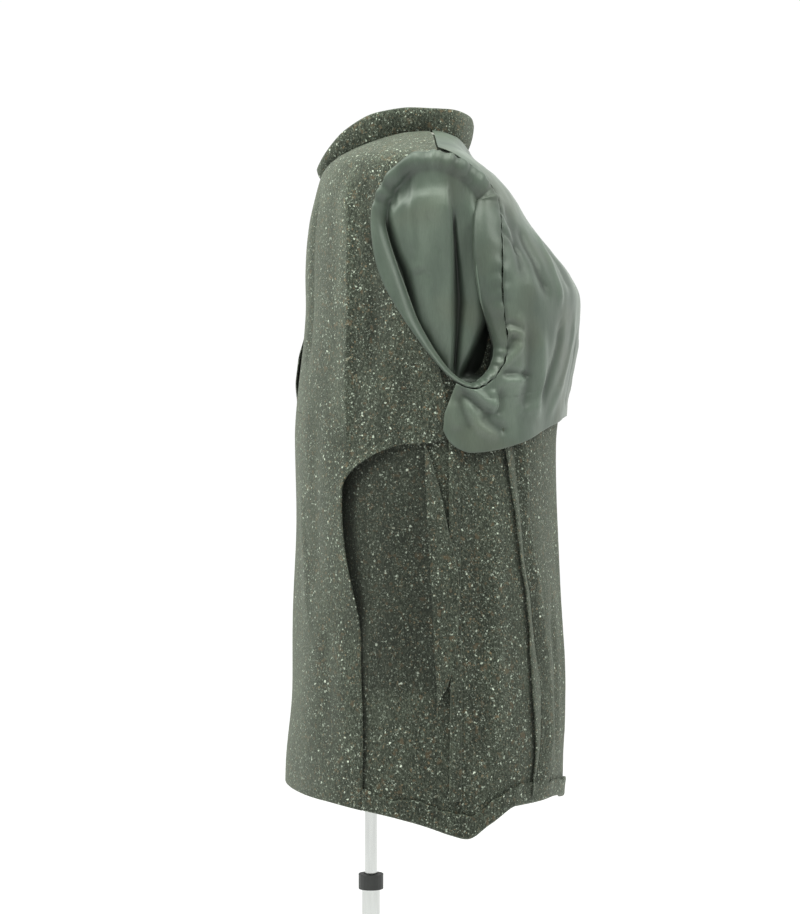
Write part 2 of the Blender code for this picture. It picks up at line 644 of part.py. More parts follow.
def build():
    clear_scene()
    mats = make_materials()
    s = lines()
    wool, satin = mats["tweed"], mats["satin"]

    front = front_region(s)
    facing = facing_region(front)
    side_back = side_back_region(s)
    for side, flip in (("right", False), ("left", True)):
        bow = far_bow(front) if flip else 0.0
        panel("front_" + side, front, bow, WOOL, wool, flip)
        lift = facing_lift(facing) + (far_bow(facing) if flip else 0.0)
        panel("facing_" + side, facing, lift, WOOL, wool, flip)
        panel("side_back_" + side, side_back, 0.0, WOOL, wool, flip)

        fold = band(0.846, 1.088, [(0.8436, 91.6), (1.0915, 86.6)], DART_FOLD, 10)
        panel("dart_" + side, fold, DART_OUT, 2 * MM, wool, flip)
        panel("side_allowance_" + side, band(0.772, 1.091, [(0.69, 96.6), (1.16, 96.8)], [(0.69, 101.0), (1.16, 101.2)], 8),
              ALLOWANCE_OUT, 1.4 * MM, wool, flip)
        inner = [(z, a - 0.15) for z, a in BACK_SEAM]
        outer = [(z, a + 0.15) for z, a in BACK_SEAM]
        panel("back_allowance_in_" + side, band(0.772, 1.115, BACK_FOLD_IN, inner, 10), ALLOWANCE_OUT, 1.4 * MM, wool, flip)
        panel("back_allowance_out_" + side, band(0.772, 1.115, outer, BACK_FOLD_OUT, 10), ALLOWANCE_OUT, 1.4 * MM, wool, flip)

        rings = sleeve_rows(s["marks"])
        nrm = ring_normals(rings)
        lining_out, lining_in = rings + nrm * SATIN / 2, rings - nrm * SATIN / 2
        short = CUFF_STEP / (rings[-2, 0, 2] - rings[-1, 0, 2])
        for grid in (lining_out, lining_in):
            grid[-1] = grid[-1] * (1 - short) + grid[-2] * short
        wall("sleeve_lining_" + side, lining_out, lining_in, satin, ring=True, mirror=flip)
        mid, n2 = rings[3:] + nrm[3:] * SLEEVE_WALL_OUT, nrm[3:]
        wall("sleeve_" + side, mid + n2 * 0.7 * MM, mid - n2 * 0.7 * MM, wool, ring=True, mirror=flip)

    panel("centre_back", back_region(s), 0.0, WOOL, wool)
    lining = lining_region(s)
    panel("back_lining", lining, lining_lift(lining), SATIN, satin)

    ang = np.concatenate([np.linspace(64.6, 180, 18), 360 - np.linspace(180, 64.6, 18)[1:]])
    half = np.where(ang > 180, 360 - ang, ang)
    low = np.stack([rad(ang), w_of_z(table(HEM, half) + 1.0 * MM)], -1)
    high = np.stack([rad(ang), w_of_z(table(TURNUP_TOP, half))], -1)
    panel("hem_turnup", np.stack([low, high]), TURNUP_OUT, 1.4 * MM, wool)

    c = collar_grid(26, 3)
    up = unit(np.gradient(c, axis=0))
    out = unit(np.cross(np.gradient(c, axis=1), up))
    wall("collar", c + out * COLLAR / 2, c - out * COLLAR / 2, wool)

    rings, _ = form_grid(28)
    rows, cols = rings.shape[:2]
    faces = [
        (i * cols + j, i * cols + (j + 1) % cols, (i + 1) * cols + (j + 1) % cols, (i + 1) * cols + j)
        for i in range(rows - 1)
        for j in range(cols)
    ]
    faces += [tuple(reversed(range(cols))), tuple((rows - 1) * cols + j for j in range(cols))]
    add("dress_form", rings.reshape(-1, 3), faces, mats["form"])

    turned("base", [(BASE_RADIUS - 0.002, 0), (BASE_RADIUS, 0.002), (BASE_RADIUS, BASE_HEIGHT - 0.003),
                    (BASE_RADIUS - 0.004, BASE_HEIGHT)], mats["base"], 48)
    turned("stand_tube", [(TUBE_OUT, BASE_HEIGHT + SEAM_GAP), (TUBE_OUT, TUBE_TOP)], mats["chrome"], 20,
           inner=[(TUBE_IN, BASE_HEIGHT + SEAM_GAP), (TUBE_IN, TUBE_TOP)])
    turned("clamp_collar", [(CLAMP_RADIUS, CLAMP_LOW), (CLAMP_RADIUS, CLAMP_HIGH)], mats["plastic"], 20,
           inner=[(TUBE_IN, CLAMP_LOW), (TUBE_IN, CLAMP_HIGH)])
    turned("pole", [(POLE_RADIUS, POLE_BOTTOM), (POLE_RADIUS, FORM_BOTTOM - SEAM_GAP)], mats["chrome"], 20)


build()
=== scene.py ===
"""Looks of the blazer on its dress form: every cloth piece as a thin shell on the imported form, with its folds and its cloth.

The jacket is inside out and back to front on the form. Its front opening faces -Y and its back lies towards +Y.
Angles run from centre front (0) over the photographed side (+X, 90) to centre back (180). Metres, +Z up.
"""

import math

import bpy
import numpy as np
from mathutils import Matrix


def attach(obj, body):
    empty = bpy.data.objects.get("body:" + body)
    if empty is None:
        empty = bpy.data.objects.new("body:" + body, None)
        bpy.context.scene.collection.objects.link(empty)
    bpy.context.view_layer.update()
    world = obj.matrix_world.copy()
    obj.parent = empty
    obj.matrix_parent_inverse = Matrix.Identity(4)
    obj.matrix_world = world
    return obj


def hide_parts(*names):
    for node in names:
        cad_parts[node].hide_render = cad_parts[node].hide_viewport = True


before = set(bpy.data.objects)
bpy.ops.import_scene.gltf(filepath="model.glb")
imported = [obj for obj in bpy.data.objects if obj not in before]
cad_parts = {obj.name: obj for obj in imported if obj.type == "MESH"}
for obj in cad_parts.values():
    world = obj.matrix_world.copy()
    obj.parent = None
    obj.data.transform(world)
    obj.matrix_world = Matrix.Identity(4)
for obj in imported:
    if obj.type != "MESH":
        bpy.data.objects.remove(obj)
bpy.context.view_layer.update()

MM = 0.001

# ---- cloth thicknesses and spacings ----
WOOL = 1.6 * MM  # tweed, one layer
SATIN = 1.0 * MM  # lining, with the air that it holds
COLLAR = 3.2 * MM  # two layers of tweed and their interfacing
SEAM_GAP = 0.3 * MM  # between pieces that are sewn to each other
FACING_OUT = 4.3 * MM  # middle of the facing above the middle of the front
ALLOWANCE_OUT = 2.4 * MM  # middle of a pressed seam allowance above its panel
DART_OUT = 4.8 * MM  # middle of the folded dart above the front
TURNUP_OUT = 2.5 * MM  # middle of the turned-up hem above the panels
LINING_OUT_TOP = 4.8 * MM  # middle of the back lining at the neck
LINING_OUT_LOW = 6.8 * MM  # the same at its loose lower edge
LINING_BRIDGE = 3.5 * MM  # how far the lining spans the hollow below the nape
CUFF_STEP = 12 * MM  # the sleeve lining ends this far above the cuff
FACING_STANDOFF = 7.0 * MM  # how far the facing's free edge springs away
NECK_MARGIN = 4.5 * MM  # the facing and the lining end this far below the collar's foot
LINING_MARGIN = 3.0 * MM  # the back lining ends this far from the armhole's edge
FRONT_START = 0.9  # degrees from centre front to each front edge
FAR_EDGE_BOW = 4.5 * MM  # how far the far front edge bows out

# ---- sleeve, hanging inside the body ----
SLEEVE_WALL_OUT = 1.9 * MM  # tweed sleeve outside its lining
SLEEVE_GAP = 6.0 * MM  # from the body to the lining's near side
SLEEVE_HALF_DEPTH = 9.0 * MM  # half of the flattened sleeve's thickness

# Horizontal sections of the garment's body, hem to neck.
#   z      height of the section
#   front  y of the centre front (the front opening, towards -Y)
#   back   y of the centre back
#   half   half of the width
#   mid    y where the section is widest
#   square 2 is an ellipse, more is squarer
SECTIONS = [
    # z      front    back    half    mid    square
    (0.690, -0.0835, 0.1950, 0.2160, 0.062, 2.45),
    (0.763, -0.0829, 0.1985, 0.2150, 0.062, 2.45),
    (0.846, -0.0766, 0.2010, 0.2120, 0.062, 2.45),
    (0.930, -0.0741, 0.1962, 0.2070, 0.062, 2.40),
    (1.035, -0.0728, 0.1920, 0.2000, 0.062, 2.40),
    (1.098, -0.0728, 0.1928, 0.1965, 0.062, 2.40),
    (1.150, -0.0698, 0.1985, 0.1950, 0.063, 2.40),
    (1.205, -0.0648, 0.2077, 0.1955, 0.064, 2.40),
    (1.240, -0.0627, 0.2100, 0.1957, 0.064, 2.38),
    (1.262, -0.0628, 0.2008, 0.1955, 0.064, 2.36),
    (1.286, -0.0620, 0.1820, 0.1950, 0.064, 2.34),
    (1.318, -0.0590, 0.1575, 0.1940, 0.065, 2.32),
    (1.346, -0.0532, 0.1410, 0.1920, 0.066, 2.30),
    (1.362, -0.0490, 0.1235, 0.1885, 0.066, 2.30),
    (1.371, -0.0455, 0.1105, 0.1800, 0.066, 2.30),
    (1.381, -0.0370, 0.1010, 0.1520, 0.065, 2.30),
    (1.391, -0.0215, 0.0965, 0.1200, 0.064, 2.30),
    (1.400, -0.0040, 0.0955, 0.0910, 0.063, 2.25),
    (1.408, 0.0130, 0.0930, 0.0650, 0.061, 2.20),
    (1.416, 0.0330, 0.0885, 0.0420, 0.061, 2.20),
]

# Lines that run round the body: angle in degrees from centre front, height.
HEM = [
    # angle, z
    (0, 0.758), (4, 0.750), (24, 0.7485), (48, 0.7470), (64, 0.7417), (82, 0.7322),
    (97, 0.7200), (104, 0.7160), (113, 0.7290), (124, 0.7440), (142, 0.7445), (180, 0.7255),
]
TURNUP_TOP = [
    (62, 0.7640), (73, 0.7535), (85, 0.7510), (97, 0.7400), (105, 0.7380), (113, 0.7490),
    (125, 0.7640), (140, 0.7610), (152, 0.7580), (180, 0.7445),
]
NECK = [
    (0, 1.366), (11, 1.380), (23, 1.391), (42, 1.4022), (62, 1.4078), (90, 1.4090),
    (115, 1.4058), (142, 1.4005), (165, 1.3960), (180, 1.3945),
]
LINING_LOW = [
    (94, 1.106), (96.3, 1.096), (100, 1.088), (105, 1.0838), (114, 1.086), (126, 1.094),
    (134, 1.102), (145, 1.112), (157, 1.1205), (180, 1.125),
]

# Lines that run up the body: height, angle.
SIDE_SEAM = [(0.69, 101.2), (1.16, 101.4)]
BACK_SEAM = [
    # z, angle
    (0.69, 131), (0.76, 132.6), (0.80, 135), (0.85, 135.2), (0.90, 133.4), (0.94, 131.8),
    (0.98, 128.4), (1.04, 126.8), (1.085, 124.8), (1.15, 119.5), (1.20, 116.5),
]
BACK_FOLD_IN = [
    (0.74, 128.8), (0.79, 131.2), (0.844, 129.3), (0.902, 129.4), (0.941, 128.4),
    (0.98, 125.4), (1.038, 123.0), (1.077, 120.5), (1.13, 116.8),
]
BACK_FOLD_OUT = [
    (0.74, 138.0), (0.79, 141.0), (0.84, 141.6), (0.90, 139.4), (0.939, 137.6),
    (0.979, 133.4), (1.038, 131.1), (1.077, 130.5), (1.13, 126.6),
]
DART_FOLD = [
    (0.8436, 91.9), (0.8625, 95.5), (0.8815, 97.5), (0.9004, 98.8), (0.943, 100.2),
    (0.967, 99.9), (0.986, 98.3), (1.010, 95.9), (1.0388, 93.4), (1.075, 89.2), (1.0915, 86.8),
]

# The facing's free edge, from the hem up and round to the armhole: angle, height.
FACING_EDGE = [
    # angle, z, and the height at the front edge that the row starts from
    (63.8, 0.741, 0.750), (63.8, 0.800, 0.805), (61.8, 0.880, 0.880), (60.8, 0.940, 0.935),
    (57.6, 0.985, 0.975), (56.2, 1.035, 1.015), (58.0, 1.062, 1.040), (66.0, 1.0805, 1.062),
    (77.0, 1.0915, 1.084), (89.0, 1.0935, 1.108), (98.0, 1.1010, 1.132),
]

# The armhole, from the shoulder tip down over the front and up the back: y, z.
ARMHOLE = [
    (0.0665, 1.3705), (0.0400, 1.3670), (0.0207, 1.3506), (0.0081, 1.3238), (0.0068, 1.2930),
    (0.0150, 1.2530), (0.0381, 1.2098), (0.0700, 1.1665), (0.0900, 1.1502), (0.1055, 1.1484),
    (0.1225, 1.1640), (0.1300, 1.1885), (0.1260, 1.2350), (0.1245, 1.2900), (0.1200, 1.3320),
    (0.1043, 1.3534), (0.0870, 1.3640),
]
TIP_LEVEL = 1.376  # where the centre back is level with the shoulder tip
ARM_BOTTOM, ARM_BACK = 8, 11  # rows where the side seam and the back seam meet it
ARM_MIDDLE, ARM_HALF = (0.068, 1.240), (0.062, 0.110)  # y and z of its middle, and its half sizes
FRONT_STEPS, UNDER_STEPS, REAR_STEPS = 9, 3, 8  # edges along its front, under the arm and up the back

# The collar's top edge, right half: angle at the neck, and the point.
COLLAR_TOP = [
    # angle   x       y       z
    (0, 0.002, -0.0560, 1.3825),
    (11, 0.026, -0.0495, 1.3925),
    (23, 0.046, -0.0270, 1.4165),
    (42, 0.060, 0.0060, 1.4330),
    (62, 0.066, 0.0400, 1.4374),
    (90, 0.066, 0.0640, 1.4365),
    (115, 0.060, 0.0830, 1.4360),
    (142, 0.044, 0.0960, 1.4345),
    (165, 0.020, 0.1040, 1.4330),
    (180, 0.000, 0.1060, 1.4315),
]

# The sleeve below the armhole: height, y of its middle, half of its flat width.
SLEEVE = [
    # z      y      half
    (1.120, 0.068, 0.074),
    (1.040, 0.066, 0.073),
    (0.960, 0.062, 0.069),
    (0.880, 0.058, 0.063),
    (0.795, 0.055, 0.058),
]
# How the sleeve lining turns over the armhole's edge: into the hole, and outwards.
MOUTH = [
    # in       out
    (-2.4 * MM, 7.0 * MM),
    (-0.2 * MM, 8.6 * MM),
    (3.0 * MM, 6.6 * MM),
    (4.9 * MM, 1.0 * MM),
    (5.6 * MM, -7.0 * MM),
]

# Sections of the dress form: the bust is towards +Y.
FORM = [
    # z      back     bust    half   mid    square
    (0.790, -0.0400, 0.1000, 0.1380, 0.035, 2.3),
    (0.800, -0.0500, 0.1130, 0.1520, 0.035, 2.3),
    (0.850, -0.0570, 0.1210, 0.1600, 0.036, 2.3),
    (0.920, -0.0560, 0.1160, 0.1530, 0.037, 2.2),
    (1.020, -0.0480, 0.1020, 0.1260, 0.040, 2.2),
    (1.090, -0.0520, 0.1220, 0.1300, 0.045, 2.2),
    (1.160, -0.0560, 0.1700, 0.1430, 0.050, 2.2),
    (1.215, -0.0560, 0.1960, 0.1500, 0.052, 2.2),
    (1.250, -0.0540, 0.1890, 0.1520, 0.054, 2.2),
    (1.300, -0.0500, 0.1560, 0.1540, 0.058, 2.2),
    (1.335, -0.0450, 0.1285, 0.1540, 0.060, 2.2),
    (1.356, -0.0350, 0.1120, 0.1430, 0.060, 2.2),
    (1.368, -0.0260, 0.0980, 0.1180, 0.059, 2.2),
    (1.380, -0.0140, 0.0910, 0.0870, 0.057, 2.1),
    (1.394, -0.0030, 0.0855, 0.0590, 0.055, 2.0),
    (1.410, 0.0020, 0.0840, 0.0480, 0.053, 2.0),
    (1.428, 0.0040, 0.0820, 0.0450, 0.053, 2.0),
]



def smooth_read(xk, yk, x):
    """Reads a table at x along a smooth line that never overshoots its rows."""
    xk, yk, x = (np.asarray(v, float) for v in (xk, yk, x))
    h = np.diff(xk)
    d = np.diff(yk) / h
    m = np.zeros_like(yk)
    same = d[:-1] * d[1:] > 0
    den = np.where(same, d[:-1] + d[1:], 1.0)
    m[1:-1] = np.where(same, 2 * d[:-1] * d[1:] / den, 0)
    m[0], m[-1] = d[0], d[-1]
    x = np.clip(x, xk[0], xk[-1])
    i = np.clip(np.searchsorted(xk, x, side="right") - 1, 0, len(h) - 1)
    s = (x - xk[i]) / h[i]
    return (
        yk[i] * (1 + 2 * s) * (1 - s) ** 2
        + m[i] * h[i] * s * (1 - s) ** 2
        + yk[i + 1] * s * s * (3 - 2 * s)
        + m[i + 1] * h[i] * s * s * (s - 1)
    )


def table(rows, x):
    """Second column of a table at the first column's value x."""
    rows = np.array(rows, float)
    return smooth_read(rows[:, 0], rows[:, 1], x)


_T = np.array(SECTIONS, float)
# The upward coordinate w is the length of the side line, so that it also runs evenly along the shoulders.
_W = np.concatenate([[0], np.cumsum(np.hypot(np.diff(_T[:, 0]), np.diff(_T[:, 3])))]) + _T[0, 0]
_WF = np.linspace(_W[0], _W[-1], 4000)
_ZF = smooth_read(_W, _T[:, 0], _WF)


def w_of_z(z):
    return np.interp(z, _ZF, _WF)


def body(theta, w):
    """Point on the body: theta 0 at centre front, 90 degrees at the right side (+X), 180 at centre back."""
    theta, w = np.broadcast_arrays(np.asarray(theta, float), np.asarray(w, float))
    z, f, b, a, m, n = (smooth_read(_W, _T[:, k], w) for k in range(6))
    s, c = np.sin(theta), np.cos(theta)
    r = (np.abs(s) ** n + np.abs(c) ** n) ** (-1 / n)
    return np.stack([a * r * s, m - np.where(c > 0, m - f, b - m) * r * c, z], -1)


def unit(v):
    return v / np.maximum(np.linalg.norm(v, axis=-1, keepdims=True), 1e-12)


def body_normal(theta, w, e=1e-3):
    return unit(np.cross(body(theta + e, w) - body(theta - e, w), body(theta, w + e) - body(theta, w - e)))


def locate(y, z):
    """Angle and upward coordinate of the point on the right half that has this y and z."""
    y, w = np.broadcast_arrays(np.asarray(y, float), w_of_z(np.asarray(z, float)))
    lo, hi = np.zeros(y.shape), np.full(y.shape, math.pi)
    for _ in range(48):
        mid = (lo + hi) / 2
        low = body(mid, w)[..., 1] < y
        lo, hi = np.where(low, mid, lo), np.where(low, hi, mid)
    return (lo + hi) / 2, w


def closed_curve(rows, t):
    """Point on the smooth closed curve through the rows; t counts rows."""
    p = np.array(rows, float)
    n = len(p)
    t = np.asarray(t, float) % n
    i = np.floor(t).astype(int)
    s = (t - i)[..., None]
    a, b, c, d = (p[(i + k) % n] for k in (-1, 0, 1, 2))
    return 0.5 * (2 * b + (c - a) * s + (2 * a - 5 * b + 4 * c - d) * s * s + (3 * b - a - 3 * c + d) * s**3)


def evenly(rows, count, start, stop):
    """Row positions that are evenly spaced in length along the closed curve, from row start to row stop."""
    t = np.linspace(start, stop, 400)
    p = closed_curve(rows, t)
    th, w = locate(p[:, 0], p[:, 1])
    q = body(th, w)
    s = np.concatenate([[0], np.cumsum(np.linalg.norm(np.diff(q, axis=0), axis=1))])
    return np.interp(np.linspace(0, s[-1], count), s, t)


def armhole(t, into=0.0, out=0.0):
    """Point at the armhole's edge, moved into the hole along the cloth and outwards from it."""
    t = np.asarray(t, float)

    def edge(k):
        p = closed_curve(ARMHOLE, k)
        th, w = locate(p[..., 0], p[..., 1])
        return body(th, w), body_normal(th, w)

    p, n = edge(t)
    along = unit(edge(t + 0.05)[0] - edge(t - 0.05)[0])
    inward = unit(np.cross(along, n))
    centre = body(*locate(0.068, 1.265))
    flip = np.sign(np.sum(inward * (centre - p), axis=-1, keepdims=True))
    return p + inward * flip * np.asarray(into)[..., None] + n * np.asarray(out)[..., None]


def armhole_uv(t, away=0.0):
    """The same edge as angle and upward coordinate, moved away from the hole."""
    p = armhole(t, into=-away * np.ones(np.shape(t)), out=np.zeros(np.shape(t)))
    return np.stack(locate(p[:, 1], p[:, 2]), -1)


def rad(a):
    return np.radians(np.asarray(a, float))


def rise(rows_z, rows, shift=0.0):
    """A line up the body through the given heights: angle (moved by shift degrees) and upward coordinate."""
    return np.stack([rad(table(rows, rows_z) + shift), w_of_z(rows_z)], -1)


def region(first, last, cols, bottom=None, top=None):
    """Grid of angle and upward coordinate between two lines up the body, with the same number of rows.
    bottom and top give the height by angle in degrees, and the rows near them follow them."""
    rows = len(first)
    u = np.linspace(0, 1, cols)[None, :, None]
    v = np.linspace(0, 1, rows)[:, None]
    g = first[:, None, :] * (1 - u) + last[:, None, :] * u
    for line, row, weight in ((bottom, 0, (1 - v) ** 3), (top, -1, v**3)):
        if line is None:
            continue
        angle = np.degrees(g[row, :, 0])
        angle = np.where(angle > 180, 360 - angle, angle)
        g[:, :, 1] += weight * (w_of_z(table(line, angle)) - g[row, :, 1])[None, :]
    return g


def below_neck(g, margin, rows=3):
    """The same grid, its last row lowered by margin and the rows just before it by less."""
    g = g.copy()
    for k in range(1, rows + 1):
        g[-k, :, 1] -= margin * (1 - (k - 1) / rows)
    return g


def raised(g, out):
    """Points of a grid on the body, moved out by a number or by an array."""
    th, w = g[..., 0], g[..., 1]
    out = np.broadcast_to(np.asarray(out, float), th.shape)
    return body(th, w) + body_normal(th, w) * out[..., None]


def window(x, lo, hi, soft):
    """1 between lo and hi, falling smoothly to 0 over soft outside them."""
    t = np.clip(np.minimum((x - lo) / soft + 1, (hi - x) / soft + 1), 0, 1)
    return t * t * (3 - 2 * t)


# ---- the same pieces as the solids, in finer rows and columns ----

FINE = 8  # rows here for each row of the solids
GAP = 0.07  # degrees, half of the gap at a seam


def steps(a, b, n):
    """n rows that lead from row a to row b, without a itself."""
    s = np.linspace(0, 1, n + 1)[1:, None]
    return np.asarray(a) * (1 - s) + np.asarray(b) * s


def smooth_line(points, n):
    """A smooth open line through the points, n pieces to each span."""
    p = np.asarray(points, float)
    q = np.concatenate([[2 * p[0] - p[1]], p, [2 * p[-1] - p[-2]]])
    t = np.linspace(0, len(p) - 1, (len(p) - 1) * n + 1)
    i = np.minimum(t.astype(int), len(p) - 2)
    s = (t - i)[:, None]
    a, b, c, d = q[i], q[i + 1], q[i + 2], q[i + 3]
    return 0.5 * (2 * b + (c - a) * s + (2 * a - 5 * b + 4 * c - d) * s**2 + (3 * b - a - 3 * c + d) * s**3)


def lines(f):
    k = np.linspace(0, 1, 6 * f + 1)
    hem_side, hem_back = float(table(HEM, 101.3)), float(table(HEM, 131.5))
    n = len(ARMHOLE)
    z_side = hem_side + (closed_curve(ARMHOLE, ARM_BOTTOM)[1] - hem_side) * k
    z_back = hem_back + (closed_curve(ARMHOLE, ARM_BACK)[1] - hem_back) * k
    out = {
        "side_front": rise(z_side, SIDE_SEAM, -GAP),
        "side_rear": rise(z_side, SIDE_SEAM, GAP),
        "back_in": rise(z_back, BACK_SEAM, -GAP),
        "back_out": rise(z_back, BACK_SEAM, GAP),
        "front": evenly(ARMHOLE, FRONT_STEPS * f + 1, ARM_BOTTOM, 0),
        "under": evenly(ARMHOLE, UNDER_STEPS * f + 1, ARM_BOTTOM, ARM_BACK),
        "rear": evenly(ARMHOLE, REAR_STEPS * f + 1, ARM_BACK, n),
    }
    tip = w_of_z(ARMHOLE[0][1])
    out["tip"] = np.array([[rad(90), tip]])
    out["shoulder"] = np.stack([np.full(2 * f, rad(90)), np.linspace(tip, w_of_z(NECK[5][1]), 2 * f + 1)[1:]], -1)
    return out


def length_marks(line):
    p = body(line[:, 0], line[:, 1])
    return np.concatenate([[0], np.cumsum(np.linalg.norm(np.diff(p, axis=0), axis=1))])


def centre_front(rows, low, high):
    s = (rows - rows[0]) / (rows[-1] - rows[0])
    return np.stack([np.full(len(rows), rad(FRONT_START)), w_of_z(low + (high - low) * s)], -1)


def centre_back(edge, low, tip_row):
    t = length_marks(edge)
    w = np.interp(t, [0, t[tip_row], t[-1]], w_of_z(np.array([low, TIP_LEVEL, NECK[-1][1]])))
    return np.stack([np.full(len(t), math.pi), w], -1)


def far_bow(g):
    z = body(g[..., 0], g[..., 1])[..., 2]
    return FAR_EDGE_BOW * window(z, 1.160, 1.180, 0.032) * window(np.degrees(g[..., 0]), 0, 2, 9)


def front_region(s, f, cols):
    outer = np.concatenate([s["side_front"], armhole_uv(s["front"][1:-1]), s["tip"], s["shoulder"]])
    outer[6 * f + 1 :, 0] -= rad(GAP)
    first = centre_front(length_marks(outer), table(HEM, 1.0), NECK[0][1])
    return region(first, outer, cols, HEM, NECK)


def facing_region(front, f, cols):
    e = smooth_line(FACING_EDGE, f)
    outer = np.stack([rad(e[:, 0]), w_of_z(e[:, 1])], -1)
    first = np.stack([np.full(len(e), rad(FRONT_START)), w_of_z(e[:, 2])], -1)
    low = region(first, outer, cols, HEM)
    s = np.linspace(0, 1, f + 1)[1:-1, None, None]
    join = low[-1][None] * (1 - s) + front[7 * f][None] * s
    return below_neck(np.concatenate([low, join, front[7 * f :]]), NECK_MARGIN, 2 * f)


def mirror_round(right):
    left = right[:, -2::-1].copy()
    left[..., 0] = 2 * math.pi - left[..., 0]
    return np.concatenate([right, left], 1)


def back_region(s, f, cols):
    edge = np.concatenate([s["back_out"], armhole_uv(s["rear"][1:-1]), s["tip"], s["shoulder"]])
    edge[6 * f + 1 :, 0] += rad(GAP)
    return mirror_round(region(edge, centre_back(edge, HEM[-1][1], len(edge) - 1 - 2 * f), cols, HEM, NECK))


def side_back_region(s, f):
    g = region(s["side_rear"], s["back_in"], UNDER_STEPS * f + 1, HEM)
    top = armhole_uv(s["under"])
    v = np.linspace(0, 1, len(g))[:, None, None] ** 3
    top[0, 0], top[-1, 0] = g[-1, 0, 0], g[-1, -1, 0]
    return g + v * (top - g[-1])[None]


def lining_region(s, f, cols):
    low = np.array([(94.2, 1.107), (94.6, 1.123)], float)
    low = np.stack([rad(low[:, 0]), w_of_z(low[:, 1])], -1)
    marks = np.concatenate([np.linspace(ARM_BOTTOM - 0.30, ARM_BOTTOM, f + 1), s["under"][1:], s["rear"][1 : -1 - (f - 1)]])
    arm = armhole_uv(marks, away=LINING_MARGIN - 1.5 * MM)
    top = np.stack([np.full(2 * f + 1, rad(93.5)), np.linspace(s["tip"][0, 1] + 0.022, w_of_z(NECK[5][1]), 2 * f + 1)], -1)
    edge = np.concatenate([low[:1], steps(low[0], low[1], f), steps(low[1], arm[0], f), arm[1:], steps(arm[-1], top[0], f), top[1:]])
    mid = centre_back(edge, LINING_LOW[-1][1], len(edge) - 1 - 2 * f)
    return mirror_round(below_neck(region(edge, mid, cols, LINING_LOW, NECK), NECK_MARGIN, 2 * f))


def heights(g):
    return body(g[..., 0], g[..., 1])[..., 2]


def lining_lift(g):
    z = heights(g)
    near_back = window(np.degrees(g[..., 0]), 165, 195, 18)
    return (
        LINING_OUT_TOP
        + (LINING_OUT_LOW - LINING_OUT_TOP) * window(z, 1.0, 1.300, 0.07)
        + LINING_BRIDGE * window(z, 1.366, 1.386, 0.018) * near_back
    )


def band(low, high, first, last, rows, cols):
    z = np.linspace(low, high, rows)
    return region(rise(z, first), rise(z, last), cols)


# ---- folds ----


def curve_on_body(points, shift=0.0):
    p = smooth_line([(rad(a + shift), w_of_z(z)) for a, z in points], 14)
    s = np.linspace(0, 1, len(p))
    return p[:, 0], body(p[:, 0], p[:, 1]), window(s, 0.22, 0.78, 0.22)


def fold_sum(points, angles, rows, far):
    """Height of the folds at points on the near half. A row is height, reach to the left and to the right (mm), and its line."""
    out = np.zeros(points.shape[:-1])
    flat, ang = points.reshape(-1, 3), angles.reshape(-1)
    for k, (height, left, right, line) in enumerate(rows):
        odd = math.sin(12.9898 * (k + 1)) * 43758.5453 % 1
        shift, gain = (3.0 * math.sin(1.7 * k + 0.4), 0.65 + 0.6 * odd) if far else (0.0, 1.0)
        th, c, taper = curve_on_body(line, shift)
        reach = 3.0 * max(left, right) * MM
        near = np.all((flat > c.min(0) - reach) & (flat < c.max(0) + reach), axis=1)
        if not near.any():
            continue
        p, a = flat[near], ang[near]
        d2 = ((p[:, None, :] - c[None]) ** 2).sum(-1)
        i = d2.argmin(1)
        dist = np.sqrt(d2[np.arange(len(p)), i]) / MM
        width = np.where(a < th[i], left, right)
        part = np.zeros(len(flat))
        part[near] = gain * height * MM * np.exp(-((dist / width) ** 2)) * taper[i]
        out += part.reshape(out.shape)
    return out


def folds(g, rows, half=None):
    """Fold height on a grid of angle and upward coordinate. half is near, far, or None for a piece that runs round."""
    th, w = g[..., 0], g[..., 1]
    if half is not None:
        return fold_sum(body(th, w), th, rows, half == "far")
    back = 2 * math.pi - th
    t = np.clip((np.degrees(th) - 168) / 24, 0, 1)
    t = t * t * (3 - 2 * t)
    return (1 - t) * fold_sum(body(th, w), th, rows, False) + t * fold_sum(body(back, w), back, rows, True)


def ripple(p, wave, height, seed):
    """A soft uneven surface: a sum of long waves in different directions."""
    rng = np.random.RandomState(seed)
    out = np.zeros(p.shape[:-1])
    for _ in range(9):
        d = rng.normal(size=3)
        d /= np.linalg.norm(d)
        k = 2 * math.pi / (wave * rng.uniform(0.7, 1.6))
        out += np.sin(p @ d * k + rng.uniform(0, 6.28))
    return out * height / 3.0


# ---- making shells ----


def unfold_area(g):
    a = np.linalg.norm(np.cross(g[1:, 1:] - g[:-1, :-1], g[1:, :-1] - g[:-1, 1:]), axis=-1) / 2
    return float(a.sum())


def border(rows, cols, ring):
    """The grid's open edges as loops of (index, index of the point inside of it)."""
    idx = np.arange(rows * cols).reshape(rows, cols)
    if ring:
        return [(idx[0], idx[1]), (idx[-1][::-1], idx[-2][::-1])]
    r, c = np.arange(rows), np.arange(cols)
    inr, inc = np.clip(r, 1, rows - 2), np.clip(c, 1, cols - 2)
    i = np.concatenate([idx[0, :-1], idx[:-1, -1], idx[-1, :0:-1], idx[:0:-1, 0]])
    j = np.concatenate([idx[1, inc[:-1]], idx[inr[:-1], -2], idx[-2, inc[:0:-1]], idx[inr[:0:-1], 1]])
    return [(i, j)]


